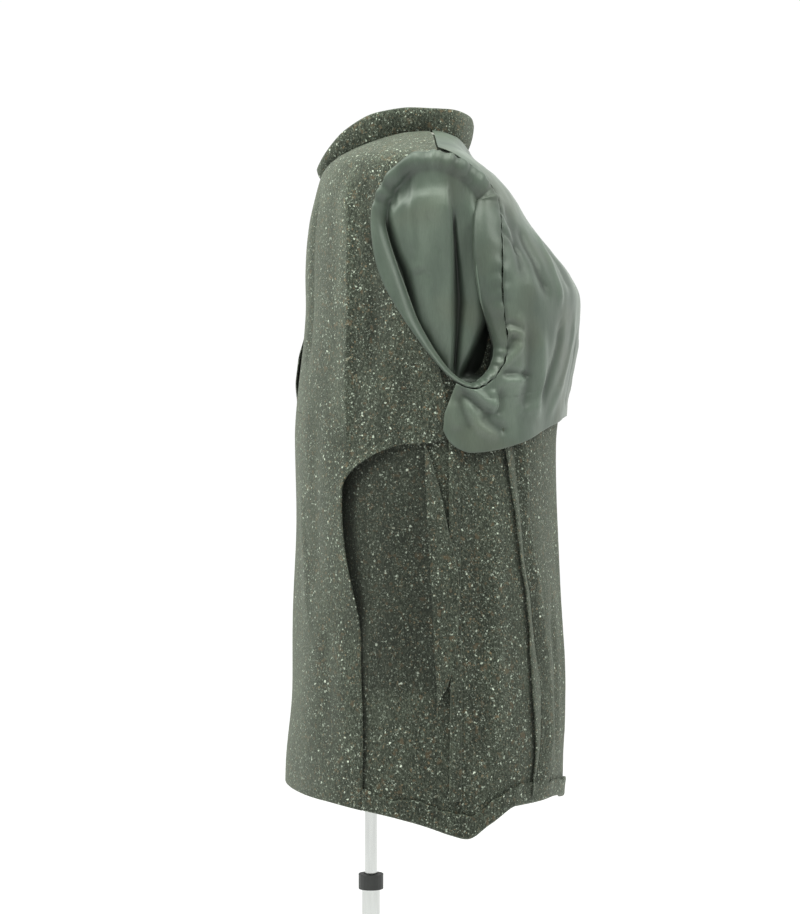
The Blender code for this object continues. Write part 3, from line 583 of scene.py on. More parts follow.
def mesh_from(name, verts, quads, mats, shade=None, smooth=True, which=None):
    v = verts[quads]
    signed = np.sum(np.cross(v[:, 0], v[:, 1]) * v[:, 2]) + np.sum(np.cross(v[:, 0], v[:, 2]) * v[:, 3])
    if signed < 0:
        quads = quads[:, ::-1]
    mesh = bpy.data.meshes.new(name)
    mesh.vertices.add(len(verts))
    mesh.vertices.foreach_set("co", verts.astype(np.float32).ravel())
    mesh.loops.add(quads.size)
    mesh.loops.foreach_set("vertex_index", quads.astype(np.int32).ravel())
    mesh.polygons.add(len(quads))
    mesh.polygons.foreach_set("loop_start", np.arange(0, quads.size, 4, dtype=np.int32))
    mesh.polygons.foreach_set("loop_total", np.full(len(quads), 4, np.int32))
    mesh.polygons.foreach_set("use_smooth", np.full(len(quads), smooth))
    mesh.update(calc_edges=True)
    mesh.validate()
    for m in mats:
        mesh.materials.append(m)
    if which is not None:
        mesh.polygons.foreach_set("material_index", which.astype(np.int32))
    if shade is not None:
        mesh.attributes.new("shade", "FLOAT", "POINT").data.foreach_set("value", shade.astype(np.float32))
    o = bpy.data.objects.new(name, mesh)
    bpy.context.scene.collection.objects.link(o)
    return o


SIZES = {}


def shell(name, outer, inner, mat, ring=False, mirror=False, shade=None, bulge=0.42):
    """A thin closed cloth wall between two grids, its open edges rounded over."""
    rows, cols = outer.shape[:2]
    n = rows * cols
    idx = np.arange(n).reshape(rows, cols)
    nxt = np.roll(idx, -1, axis=1)
    cut = slice(None) if ring else slice(None, -1)
    q = np.stack([idx[:-1, cut], nxt[:-1, cut], nxt[1:, cut], idx[1:, cut]], -1).reshape(-1, 4)
    quads = [q, q[:, ::-1] + n]
    po, pi = outer.reshape(-1, 3), inner.reshape(-1, 3)
    verts = [po, pi]
    sh = np.ones(n) if shade is None else np.broadcast_to(shade, (rows, cols)).reshape(-1)
    # The inner face gets painted shade: its colour is darkened to 0.85 of the outer face's.
    shades = [sh, sh * 0.85]
    count = 2 * n
    for i, j in border(rows, cols, ring):
        mid, inside = (po[i] + pi[i]) / 2, (po[j] + pi[j]) / 2
        thick = np.linalg.norm(po[i] - pi[i], axis=1, keepdims=True)
        verts.append(mid + unit(mid - inside) * thick * bulge)
        shades.append(sh[i])
        m = count + np.arange(len(i))
        count += len(i)
        i2, m2 = np.roll(i, -1), np.roll(m, -1)
        quads.append(np.stack([i2, i, m, m2], -1))
        quads.append(np.stack([m2, m, i + n, i2 + n], -1))
    verts = np.concatenate(verts)
    if mirror:
        verts = verts * (-1, 1, 1)
    o = mesh_from(name, verts, np.concatenate(quads), [mat], np.concatenate(shades))
    g = (outer + inner) / 2
    if ring:
        g = np.concatenate([g, g[:, :1]], 1)
    wide = np.linalg.norm(np.diff(g, axis=1), axis=-1).sum(1).max()
    long = np.linalg.norm(np.diff(g, axis=0), axis=-1).sum(0).max()
    SIZES[name] = (round(float(wide), 3), round(float(long), 3), round(unfold_area(g), 4))
    return o


def on_body(name, g, mid, thick, mat, mirror=False, shade=None, bulge=0.42):
    mid = np.broadcast_to(np.asarray(mid, float), g.shape[:2])
    return shell(name, raised(g, mid + thick / 2), raised(g, mid - thick / 2), mat, mirror=mirror, shade=shade, bulge=bulge)

# ---- fold tables: height, reach to the left, reach to the right (mm), line of (angle, z) ----

WOOL_FOLDS = [
    # the pressed crease down the facing, steeper on its right
    (5.4, 17, 4.5, [(46.7, 1.360), (51.0, 1.331), (54.0, 1.291), (55.2, 1.242), (55.6, 1.194), (56.0, 1.135), (56.0, 1.090)]),
    (1.5, 3.0, 2.2, [(51.3, 1.331), (54.2, 1.291), (55.4, 1.242), (55.8, 1.194), (56.2, 1.135), (56.2, 1.096), (56.7, 1.054), (56.8, 1.030)]),
    # the hollow to its right, down from the shoulder
    (-5.0, 8, 13, [(54.0, 1.356), (59.0, 1.330), (62.8, 1.290), (64.2, 1.242), (64.6, 1.193), (64.0, 1.140)]),
    # hollow between the crease and the front edge
    (-4.2, 11, 8, [(22.0, 1.360), (24.5, 1.330), (25.0, 1.300), (25.4, 1.249), (26.6, 1.198), (28.8, 1.155)]),
    (1.6, 8, 8, [(64.0, 1.340), (63.5, 1.300), (64.5, 1.261), (68.0, 1.225)]),
    (-2.2, 14, 14, [(38.0, 1.150), (39.0, 1.080), (41.0, 1.010), (42.0, 0.940)]),
    (2.0, 12, 10, [(28.0, 1.070), (30.1, 1.002), (33.5, 0.960), (34.3, 0.900)]),
    (-1.8, 12, 12, [(46.0, 0.930), (48.0, 0.860), (47.0, 0.790)]),
    (1.8, 16, 14, [(55.0, 0.900), (57.0, 0.830), (58.0, 0.765)]),
    # below the armhole, towards the side
    (-2.0, 12, 10, [(72.0, 1.180), (78.0, 1.150), (86.0, 1.125)]),
    (1.6, 12, 12, [(66.0, 1.170), (70.0, 1.130), (73.0, 1.100)]),
    # skirt of the jacket
    (2.2, 16, 14, [(70.8, 1.040), (73.7, 0.981), (75.2, 0.867), (74.8, 0.772)]),
    (-2.2, 12, 10, [(82.8, 1.058), (86.8, 0.943), (86.9, 0.848), (85.1, 0.763)]),
    (2.4, 10, 10, [(114.2, 1.067), (116.0, 0.981), (115.3, 0.866), (114.7, 0.761)]),
    (-2.4, 7, 10, [(106.5, 1.077), (107.4, 0.943), (106.8, 0.772)]),
    (-2.6, 8, 8, [(146.7, 0.960), (147.7, 0.878), (147.4, 0.838), (148.3, 0.759)]),
    (2.2, 12, 14, [(158.0, 1.060), (160.0, 0.950), (158.0, 0.850), (160.0, 0.760)]),
    (-1.8, 14, 14, [(170.0, 1.080), (171.0, 0.960), (172.0, 0.840)]),
    (1.4, 12, 10, [(124.0, 1.060), (126.0, 1.000), (127.5, 0.940)]),
    (-1.5, 9, 9, [(94.5, 0.960), (94.0, 0.880), (93.0, 0.800)]),
]

SATIN_FOLDS = [
    # soft hollows beside the armhole seam, and the bright runs between them
    (-3.6, 6, 10, [(133.0, 1.330), (131.6, 1.311), (128.0, 1.288), (124.6, 1.266), (123.0, 1.246)]),
    (-4.6, 9, 7, [(137.5, 1.310), (134.4, 1.290), (132.6, 1.268), (132.6, 1.250), (134.8, 1.232)]),
    (2.4, 6, 5, [(151.9, 1.310), (145.6, 1.288), (141.8, 1.266), (140.5, 1.243), (141.2, 1.224)]),
    (-2.4, 7, 9, [(158.0, 1.312), (153.0, 1.288), (149.5, 1.264), (149.0, 1.238)]),
    # the folds that hang from the bust to the lower edge
    (2.0, 5, 8, [(153.0, 1.236), (152.9, 1.198), (150.4, 1.167), (144.4, 1.137), (139.8, 1.113)]),
    (-3.8, 8, 6, [(142.4, 1.222), (141.7, 1.186), (138.7, 1.156), (133.8, 1.122)]),
    (3.2, 6, 8, [(130.3, 1.208), (132.7, 1.176), (134.3, 1.146), (131.6, 1.109)]),
    (-2.8, 7, 6, [(125.0, 1.214), (126.6, 1.180), (127.6, 1.150), (125.0, 1.108)]),
    (2.2, 7, 7, [(120.0, 1.226), (121.6, 1.196), (122.6, 1.160), (121.2, 1.130)]),
    (-2.6, 6, 8, [(163.0, 1.215), (163.5, 1.180), (161.0, 1.150), (157.0, 1.130)]),
    (2.0, 7, 9, [(172.0, 1.210), (173.0, 1.175), (170.5, 1.140)]),
    # short creases out of the armhole seam
    (-3.0, 3.2, 3.2, [(114.6, 1.206), (117.6, 1.210), (123.4, 1.203)]),
    (2.0, 3.0, 3.0, [(115.6, 1.199), (119.0, 1.202), (124.4, 1.195)]),
    (-3.6, 3.0, 3.4, [(114.8, 1.176), (117.2, 1.186), (120.8, 1.202)]),
    (2.4, 3.5, 3.5, [(115.6, 1.166), (119.4, 1.178), (123.4, 1.194)]),
    (-3.4, 3.2, 3.2, [(115.2, 1.160), (121.4, 1.1625), (129.6, 1.160)]),
    (2.2, 4.0, 4.0, [(116.0, 1.152), (121.2, 1.154), (127.8, 1.153)]),
    (-1.6, 3.0, 3.0, [(124.6, 1.334), (128.0, 1.318), (129.6, 1.300)]),
    (-1.6, 2.6, 2.6, [(122.0, 1.304), (125.4, 1.288), (127.2, 1.270)]),
    # under the arm: drag lines that meet in points
    (-3.6, 3.6, 4.0, [(99.6, 1.147), (104.2, 1.136), (109.4, 1.126), (115.1, 1.119)]),
    (3.0, 4.0, 4.0, [(101.8, 1.150), (106.8, 1.141), (112.0, 1.131), (116.6, 1.124)]),
    (-3.4, 3.4, 3.4, [(115.1, 1.119), (116.6, 1.130), (115.6, 1.150)]),
    (2.6, 3.4, 3.4, [(112.4, 1.146), (113.8, 1.136), (115.0, 1.126)]),
    (-2.6, 3.6, 3.6, [(99.5, 1.144), (101.0, 1.130), (103.7, 1.116), (105.5, 1.101)]),
    (3.0, 5.0, 5.0, [(101.8, 1.138), (105.4, 1.118), (109.8, 1.106), (117.5, 1.098)]),
    (-3.0, 5.0, 5.0, [(108.6, 1.122), (113.9, 1.112), (120.8, 1.103)]),
    (2.2, 4.0, 4.0, [(97.4, 1.136), (98.4, 1.118), (100.2, 1.104)]),
    (2.0, 6.0, 5.0, [(122.5, 1.128), (128.1, 1.126), (134.6, 1.134)]),
]

# The near side of the sleeve lining in the armhole, in y and z. Heights stand out of the hollow, towards +X.
FLAP_EDGE = [(1.150, 0.0740), (1.1658, 0.0720), (1.1880, 0.0600), (1.2140, 0.0462), (1.2313, 0.0432), (1.2554, 0.0385), (1.2795, 0.0290), (1.3036, 0.0220), (1.3200, 0.0180), (1.3400, 0.0150)]
PANEL_EDGE = [(1.150, 0.0800), (1.1700, 0.0806), (1.2024, 0.0815), (1.2506, 0.0812), (1.2988, 0.0803), (1.3250, 0.0790), (1.3420, 0.0770)]
SMALL_CREASES = [
    # height, reach (mm), and the line of (y, z)
    (-1.6, 2.2, [(0.0440, 1.3390), (0.0490, 1.3365), (0.0560, 1.3375), (0.0620, 1.3350)]),
    (1.2, 2.4, [(0.0450, 1.3330), (0.0520, 1.3310), (0.0600, 1.3310)]),
    (-1.4, 1.8, [(0.0545, 1.3130), (0.0590, 1.3080), (0.0640, 1.3020)]),
    (-1.4, 1.6, [(0.0620, 1.2830), (0.0680, 1.2800), (0.0720, 1.2790)]),
    (1.0, 2.0, [(0.0630, 1.2780), (0.0690, 1.2750)]),
    (1.5, 3.0, [(0.0380, 1.2640), (0.0460, 1.2620), (0.0540, 1.2660)]),
    (-1.2, 2.2, [(0.0440, 1.2560), (0.0530, 1.2580), (0.0620, 1.2520)]),
    (-1.0, 2.5, [(0.0640, 1.2480), (0.0650, 1.2300), (0.0690, 1.2100)]),
    (1.0, 3.0, [(0.0560, 1.2450), (0.0580, 1.2200), (0.0650, 1.1950)]),
    (-1.2, 3.5, [(0.0480, 1.3300), (0.0470, 1.3000), (0.0500, 1.2700)]),
    (1.4, 4.0, [(0.0400, 1.3350), (0.0390, 1.3050), (0.0440, 1.2750)]),
    (1.3, 4.0, [(0.0720, 1.3350), (0.0740, 1.3000), (0.0745, 1.2500)]),
]

# ---- materials ----


def new_material(name):
    m = bpy.data.materials.new(name)
    m.use_nodes = True
    t = m.node_tree
    return m, t.nodes, t.links, t.nodes["Principled BSDF"]


def math_node(nodes, links, kind, a, b=None, clamp=False):
    n = nodes.new("ShaderNodeMath")
    n.operation = kind
    n.use_clamp = clamp
    for k, v in enumerate((a, b)):
        if v is None:
            continue
        if isinstance(v, (int, float)):
            n.inputs[k].default_value = v
        else:
            links.new(v, n.inputs[k])
    return n.outputs[0]


def ramp(nodes, links, value, stops):
    n = nodes.new("ShaderNodeValToRGB")
    el = n.color_ramp.elements
    while len(el) < len(stops):
        el.new(0.5)
    for e, (p, c) in zip(el, stops):
        e.position = p
        e.color = (*c, 1) if len(c) == 3 else c
    links.new(value, n.inputs[0])
    return n.outputs[0]


def mix_colour(nodes, links, factor, a, b, kind="MIX"):
    n = nodes.new("ShaderNodeMix")
    n.data_type = "RGBA"
    n.blend_type = kind
    for v, socket in ((factor, n.inputs["Factor"]), (a, n.inputs["A"]), (b, n.inputs["B"])):
        socket = [s for s in n.inputs if s.identifier == {"Factor": "Factor_Float", "A": "A_Color", "B": "B_Color"}[socket.name]][0]
        if isinstance(v, (int, float)):
            socket.default_value = v
        elif isinstance(v, tuple):
            socket.default_value = (*v, 1)
        else:
            links.new(v, socket)
    return [s for s in n.outputs if s.identifier == "Result_Color"][0]


def noise(nodes, links, coord, scale, detail=2.0, rough=0.5, colour=False):
    n = nodes.new("ShaderNodeTexNoise")
    n.inputs["Scale"].default_value = scale
    n.inputs["Detail"].default_value = detail
    n.inputs["Roughness"].default_value = rough
    links.new(coord, n.inputs["Vector"])
    return n.outputs["Color" if colour else "Fac"]


def stretched(nodes, links, coord, scale, turn=(0, 0, 0)):
    n = nodes.new("ShaderNodeMapping")
    n.inputs["Scale"].default_value = scale
    n.inputs["Rotation"].default_value = turn
    links.new(coord, n.inputs["Vector"])
    return n.outputs[0]


def flecks(nodes, links, coord, cells, keep, size):
    """Scattered spots: cells to the metre, the share of cells that hold one, and its radius in cells."""
    v = nodes.new("ShaderNodeTexVoronoi")
    v.inputs["Scale"].default_value = cells
    links.new(coord, v.inputs["Vector"])
    sep = nodes.new("ShaderNodeSeparateColor")
    links.new(v.outputs["Color"], sep.inputs[0])
    there = math_node(nodes, links, "GREATER_THAN", sep.outputs[0], 1 - keep)
    radius = math_node(nodes, links, "MULTIPLY_ADD", sep.outputs[1], size)
    radius.node.inputs[2].default_value = size * 0.45
    edge = math_node(nodes, links, "SUBTRACT", radius, v.outputs["Distance"])
    soft = math_node(nodes, links, "MULTIPLY", edge, 9.0, clamp=True)
    return math_node(nodes, links, "MULTIPLY", soft, there), sep.outputs[2]


# Reads the painted light and shade that each cloth piece stores in its 'shade' attribute.
def shade_value(nodes):
    n = nodes.new("ShaderNodeAttribute")
    n.attribute_name = "shade"
    return n.outputs["Fac"]


def tweed_material(name, light=1.0):
    m, nodes, links, bsdf = new_material(name)
    coord = nodes.new("ShaderNodeTexCoord").outputs["Object"]
    wobble = nodes.new("ShaderNodeVectorMath")
    wobble.operation = "MULTIPLY_ADD"
    links.new(noise(nodes, links, coord, 420, 2, 0.6, colour=True), wobble.inputs[0])
    wobble.inputs[1].default_value = (0.0042, 0.0042, 0.0042)
    links.new(coord, wobble.inputs[2])
    bent = wobble.outputs[0]

    yarn = noise(nodes, links, stretched(nodes, links, coord, (1, 1, 0.55)), 640, 3, 0.65)
    base = ramp(nodes, links, yarn, [
        (0.36, (0.0088 * light, 0.0104 * light, 0.0078 * light)),
        (0.50, (0.0285 * light, 0.0330 * light, 0.0250 * light)),
        (0.66, (0.080 * light, 0.090 * light, 0.071 * light)),
    ])
    cloud = noise(nodes, links, stretched(nodes, links, coord, (1, 1, 0.35)), 42, 3, 0.6)
    cloud = ramp(nodes, links, cloud, [(0.30, (0.66, 0.66, 0.66)), (0.70, (1.34, 1.33, 1.30))])
    base = mix_colour(nodes, links, 1.0, base, cloud, "MULTIPLY")
    weave = nodes.new("ShaderNodeTexWave")
    weave.wave_type, weave.bands_direction = "BANDS", "DIAGONAL"
    weave.inputs["Scale"].default_value = 260
    weave.inputs["Distortion"].default_value = 2.5
    weave.inputs["Detail"].default_value = 1.0
    links.new(coord, weave.inputs["Vector"])
    twill = ramp(nodes, links, weave.outputs["Fac"], [(0.0, (0.78, 0.78, 0.78)), (1.0, (1.16, 1.16, 1.16))])
    base = mix_colour(nodes, links, 1.0, base, twill, "MULTIPLY")

    brown = noise(nodes, links, coord, 170, 1, 0.5)
    brown = ramp(nodes, links, brown, [(0.63, (0, 0, 0)), (0.70, (0.55, 0.55, 0.55))])
    base = mix_colour(nodes, links, brown, base, (0.105, 0.070, 0.040))
    height = None
    for cells, keep, size, tones in (
        (760, 0.34, 0.40, ((0.10, 0.120, 0.095), (0.30, 0.335, 0.28))),
        (520, 0.20, 0.38, ((0.19, 0.215, 0.175), (0.55, 0.60, 0.51))),
        (300, 0.085, 0.30, ((0.34, 0.38, 0.32), (0.78, 0.83, 0.72))),
    ):
        mask, tone = flecks(nodes, links, bent, cells, keep, size)
        tint = ramp(nodes, links, tone, [(0.0, (0.17, 0.12, 0.07)), (0.16, (0.19, 0.14, 0.08)), (0.24, tones[0]), (1.0, tones[1])])
        base = mix_colour(nodes, links, mask, base, tint)
        height = mask if height is None else math_node(nodes, links, "MAXIMUM", height, mask)
    # The tweed's colour is darkened and lightened by the painted shade in the 'shade' attribute.
    base = mix_colour(nodes, links, 1.0, base, shade_value(nodes), "MULTIPLY")
    links.new(base, bsdf.inputs["Base Color"])
    relief = math_node(nodes, links, "MULTIPLY_ADD", yarn, 1.0)
    links.new(height, relief.node.inputs[2])
    bump = nodes.new("ShaderNodeBump")
    bump.inputs["Strength"].default_value = 0.75
    bump.inputs["Distance"].default_value = 0.0009
    links.new(relief, bump.inputs["Height"])
    links.new(bump.outputs[0], bsdf.inputs["Normal"])
    bsdf.inputs["Roughness"].default_value = 0.95
    bsdf.inputs["Specular IOR Level"].default_value = 0.18
    bsdf.inputs["Sheen Weight"].default_value = 0.22
    bsdf.inputs["Sheen Roughness"].default_value = 0.6
    bsdf.inputs["Sheen Tint"].default_value = (0.78, 0.84, 0.72, 1)
    return m


def satin_material(name):
    m, nodes, links, bsdf = new_material(name)
    coord = nodes.new("ShaderNodeTexCoord").outputs["Object"]
    soft = noise(nodes, links, stretched(nodes, links, coord, (1, 1, 0.30)), 34, 3, 0.55)
    base = ramp(nodes, links, soft, [(0.30, (0.060, 0.077, 0.063)), (0.52, (0.077, 0.098, 0.079)), (0.72, (0.098, 0.122, 0.099))])
    warm = noise(nodes, links, coord, 17, 1, 0.5)
    warm = ramp(nodes, links, warm, [(0.52, (0, 0, 0)), (0.68, (0.38, 0.38, 0.38))])
    base = mix_colour(nodes, links, warm, base, (0.092, 0.100, 0.074))
    thread = noise(nodes, links, stretched(nodes, links, coord, (1, 1, 0.06)), 1500, 2, 0.6)
    tint = ramp(nodes, links, thread, [(0.3, (0.90, 0.90, 0.90)), (0.7, (1.09, 1.09, 1.09))])
    base = mix_colour(nodes, links, 1.0, base, tint, "MULTIPLY")
    # The satin's colour is darkened and lightened by the painted shade in the 'shade' attribute.
    base = mix_colour(nodes, links, 1.0, base, shade_value(nodes), "MULTIPLY")
    links.new(base, bsdf.inputs["Base Color"])
    wrinkle = noise(nodes, links, stretched(nodes, links, coord, (1, 1, 0.5)), 120, 3, 0.5)
    relief = math_node(nodes, links, "MULTIPLY_ADD", thread, 0.16)
    links.new(wrinkle, relief.node.inputs[2])
    bump = nodes.new("ShaderNodeBump")
    bump.inputs["Strength"].default_value = 0.30
    bump.inputs["Distance"].default_value = 0.0010
    links.new(relief, bump.inputs["Height"])
    links.new(bump.outputs[0], bsdf.inputs["Normal"])
    bsdf.inputs["Roughness"].default_value = 0.40
    bsdf.inputs["Specular IOR Level"].default_value = 0.42
    bsdf.inputs["Sheen Weight"].default_value = 0.18
    bsdf.inputs["Sheen Roughness"].default_value = 0.35
    bsdf.inputs["Sheen Tint"].default_value = (0.80, 0.90, 0.80, 1)
    return m


def jersey_material(name):
    m, nodes, links, bsdf = new_material(name)
    coord = nodes.new("ShaderNodeTexCoord").outputs["Object"]
    knit = noise(nodes, links, stretched(nodes, links, coord, (1, 1, 0.35)), 900, 2, 0.6)
    base = ramp(nodes, links, knit, [(0.3, (0.66, 0.64, 0.60)), (0.7, (0.80, 0.78, 0.74))])
    links.new(base, bsdf.inputs["Base Color"])
    bump = nodes.new("ShaderNodeBump")
    bump.inputs["Strength"].default_value = 0.4
    bump.inputs["Distance"].default_value = 0.0004
    links.new(knit, bump.inputs["Height"])
    links.new(bump.outputs[0], bsdf.inputs["Normal"])
    bsdf.inputs["Roughness"].default_value = 0.85
    bsdf.inputs["Sheen Weight"].default_value = 0.15
    return m


def metal_material(name, colour, rough, metallic, spread):
    m, nodes, links, bsdf = new_material(name)
    coord = nodes.new("ShaderNodeTexCoord").outputs["Object"]
    grain = noise(nodes, links, stretched(nodes, links, coord, (1, 1, 0.08)), 220, 3, 0.6)
    tone = ramp(nodes, links, grain, [(0.3, tuple(c * (1 - spread) for c in colour)), (0.7, tuple(c * (1 + spread) for c in colour))])
    links.new(tone, bsdf.inputs["Base Color"])
    r = math_node(nodes, links, "MULTIPLY_ADD", grain, spread)
    r.node.inputs[2].default_value = rough
    links.new(r, bsdf.inputs["Roughness"])
    bsdf.inputs["Metallic"].default_value = metallic
    return m


# ---- the cloth ----

TWEED, SATIN_CLOTH = tweed_material("tweed_cloth"), satin_material("satin_cloth")


def rides(o, node):
    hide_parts(node)
    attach(o, "form")
    return o


def between(g, first, last):
    """0 at the first column of the grid and 1 at the last, as an array of its shape."""
    return np.broadcast_to(np.linspace(first, last, g.shape[1])[None, :], g.shape[:2])


def painted_crease_shade(h, strength):
    """Painted shade and highlight: hollows a little darker, ridges a little lighter, following the height of the
    folds.
    """
    return np.clip(1 + h / MM * strength, 0.45, 1.28)


def cloth_drape(g, half=None, wave=0.12, seed=3):
    h = folds(g, WOOL_FOLDS, half)
    return h + ripple(body(g[..., 0], g[..., 1]) * (1, 1 if half != "far" else 1.1, 1), wave, 0.7 * MM, seed)


def make_fronts(s, side):
    flip = side == "left"
    half = "far" if flip else "near"
    front = front_region(s, FINE, 101)
    bow = far_bow(front) if flip else 0.0
    h = cloth_drape(front, half)
    z = heights(front)
    ang = np.degrees(front[..., 0])
    # Painted shadow on the front: colour darkened in a narrow band just past the facing's free edge and just past the
    # dart's fold edge.
    past = ang - table([(b, x) for x, b, _ in FACING_EDGE[:7]], z)
    under = 1 - 0.62 * window(z, 0.60, 1.060, 0.012) * np.exp(-((np.clip(past, 0, None) / 1.7) ** 2))
    fold = ang - table(DART_FOLD, z)
    under = under * (1 - 0.45 * window(z, 0.86, 1.080, 0.015) * np.exp(-((np.clip(fold, 0, None) / 1.3) ** 2)))
    rides(on_body("front_" + side + "_cloth", front, bow + h, WOOL, TWEED, flip, painted_crease_shade(h, 0.05) * under), "front_" + side)

    facing = facing_region(front, FINE, 101)
    z = heights(facing)
    u = between(facing, 0, 1)
    h = cloth_drape(facing, half)
    stand = 1 if not flip else 0.7
    free = window(z, 0.955, 1.045, 0.055)
    edge = FACING_OUT + 8.6 * MM * stand * free * u**3.2
    edge = edge + 1.2 * MM * u**6 * np.sin(z / 0.031 + (1.3 if flip else 0)) * window(z, 0.60, 1.09, 0.03)
    edge = edge - 1.2 * MM * window(z, 0.6, 0.90, 0.06) * u**4
    bow = far_bow(facing) if flip else 0.0
    # Painted highlight: the facing's colour lightened along its free edge where it stands off.
    roll = 1 + 0.16 * window(u, 0.955, 1.2, 0.03) * free
    o = on_body("facing_" + side + "_cloth", facing, edge + bow + h, WOOL, TWEED, flip, painted_crease_shade(h, 0.055) * roll)
    rides(o, "facing_" + side)


def make_side(s, side):
    flip = side == "left"
    half = "far" if flip else "near"
    g = side_back_region(s, FINE)
    h = cloth_drape(g, half)
    rides(on_body("side_back_" + side + "_cloth", g, h, WOOL, TWEED, flip, painted_crease_shade(h, 0.05)), "side_back_" + side)

    # the dart, folded towards the front and pressed flat, its fold edge standing up a little
    g = band(0.838, 1.096, [(0.838, 92.0), (1.096, 86.4)], [(0.830, 91.0)] + DART_FOLD + [(1.100, 85.6)], 90, 22)
    u, z = between(g, 0, 1), heights(g)
    ends = window(z, 0.862, 1.070, 0.028)
    lift = (0.3 + 5.4 * np.sin(u * math.pi / 2) ** 1.5) * ends + 0.2
    lift = lift + 0.8 * u**3 * np.sin(z / 0.016 + (2 if flip else 0)) * ends
    h = cloth_drape(g, half)
    # Painted highlight: the dart's colour lightened towards its fold edge.
    o = on_body("dart_" + side + "_cloth", g, lift * MM + h, WOOL, TWEED, flip, painted_crease_shade(h, 0.05) * (1 + 0.12 * u**6))
    rides(o, "dart_" + side)

    # seam allowances, pressed, with edges that lift unevenly
    for name, first, last, low, high, seam_last, edge_up in (
        ("side_allowance_", [(0.69, 96.3), (0.90, 96.9), (1.16, 96.7)], [(0.69, 101.05), (1.16, 101.25)], 0.752, 1.100, True, 2.6),
        ("back_allowance_in_", BACK_FOLD_IN, [(z, a - 0.12) for z, a in BACK_SEAM], 0.752, 1.125, True, 3.9),
        ("back_allowance_out_", [(z, a + 0.12) for z, a in BACK_SEAM], BACK_FOLD_OUT, 0.752, 1.125, False, 3.4),
    ):
        g = band(low, high, first, last, 120, 14)
        z = heights(g)
        v = between(g, 1, 0) if seam_last else between(g, 0, 1)
        phase = 1.9 * len(name) + (2.3 if flip else 0)
        lift = 0.9 + edge_up * np.sin(v * math.pi / 2) ** 1.4 + 0.55 * v**2 * (np.sin(z / 0.0135 + phase) + 0.6 * np.sin(z / 0.0062 + 2 * phase))
        h = cloth_drape(g, half)
        # Painted shade and highlight: the allowance darker at the seam groove, lighter towards its lifted edge.
        shade = painted_crease_shade(h, 0.05) * (0.80 + 0.32 * v)
        o = on_body(name + side + "_cloth", g, lift * MM + h, 1.3 * MM, TWEED, flip, shade)
        rides(o, name + side)


def make_back(s):
    g = back_region(s, FINE, 85)
    h = cloth_drape(g)
    rides(on_body("centre_back_cloth", g, h, WOOL, TWEED, shade=painted_crease_shade(h, 0.05)), "centre_back")

    f = 12
    g = lining_region(lines(f), f, 99)
    p = body(g[..., 0], g[..., 1])
    z, ang = p[..., 2], np.degrees(g[..., 0])
    h = folds(g, SATIN_FOLDS) + ripple(p * (1, 1, 0.6), 0.050, 0.50 * MM, 11) + ripple(p, 0.020, 0.14 * MM, 12)
    cols = g.shape[1]
    from_edge = np.minimum(np.arange(cols), cols - 1 - np.arange(cols))[None, :] / 4.5
    near_arm = np.exp(-from_edge**2) * window(z, 1.200, 1.335, 0.035)
    side = np.where(ang < 180, 0.0, 1.7)
    pucker = near_arm * (np.sin(z / 0.0021 + 3 * np.sin(z / 0.021) + side) + 0.6 * np.sin(z / 0.0037 + side)) * 0.45 * MM
    low = window(z, 1.0, 1.13, 0.05)
    free = np.linspace(0, 1, len(g))[:, None]
    hem = np.exp(-((free / 0.10) ** 2))
    loose = 1.6 * MM * hem * (0.5 + 0.5 * np.sin(np.radians(ang) * 17 + 1.0))
    drape = folds(g, WOOL_FOLDS) * 0.4
    keep = np.maximum(h + pucker + drape + loose, -(lining_lift(g) - 1.6 * MM) + folds(g, WOOL_FOLDS))
    # Painted shade and highlight on the lining: darker in hollows and puckers, lighter on ridges, and darker close to
    # the armhole's edge.
    dark = np.clip(1 + (h + pucker) / MM * 0.105, 0.36, 1.38) * (1 - 0.25 * near_arm * (from_edge < 0.25))
    o = on_body("back_lining_cloth", g, lining_lift(g) + keep, 0.7 * MM, SATIN_CLOTH, shade=dark)
    rides(o, "back_lining")

    # the hem, turned up to the inside and pressed, its raw edge slightly wavy
    ang = np.concatenate([np.linspace(64.3, 180, 170), 360 - np.linspace(180, 64.3, 170)[1:]])
    fold = np.where(ang > 180, 360 - ang, ang)
    low, high = w_of_z(table(HEM, fold)), w_of_z(table(TURNUP_TOP, fold) + 0.9 * MM * np.sin(np.radians(ang) * 23) + 0.6 * MM * np.sin(np.radians(ang) * 61))
    v = np.array([-0.03, 0.0, 0.05, 0.14, 0.30, 0.48, 0.66, 0.82, 0.93, 1.0])[:, None]
    g = np.stack([np.broadcast_to(rad(ang), (len(v), len(ang))), low * (1 - v) + high * v], -1)
    lift = np.interp(v, [-0.03, 0.0, 0.05, 0.14, 0.66, 1.0], [0.3, 1.4, 2.3, 2.7, 2.9, 3.1])
    wave = 0.75 * np.sin(np.radians(ang) * 47 + 2 * np.sin(np.radians(ang) * 9)) * np.clip(v, 0, 1) ** 2 + 0.5 * np.sin(np.radians(ang) * 19)
    h = cloth_drape(g)
    # Painted shade and highlight: darker at the fold of the hem, lighter just above it and at the raw top edge.
    shade = painted_crease_shade(h, 0.05) * np.interp(v, [-0.03, 0.05, 0.3, 0.9, 1.0], [0.8, 1.12, 1.05, 0.96, 1.15])
    o = on_body("hem_turnup_cloth", g, (lift + wave) * MM + h, 1.3 * MM, TWEED, shade=shade)
    rides(o, "hem_turnup")


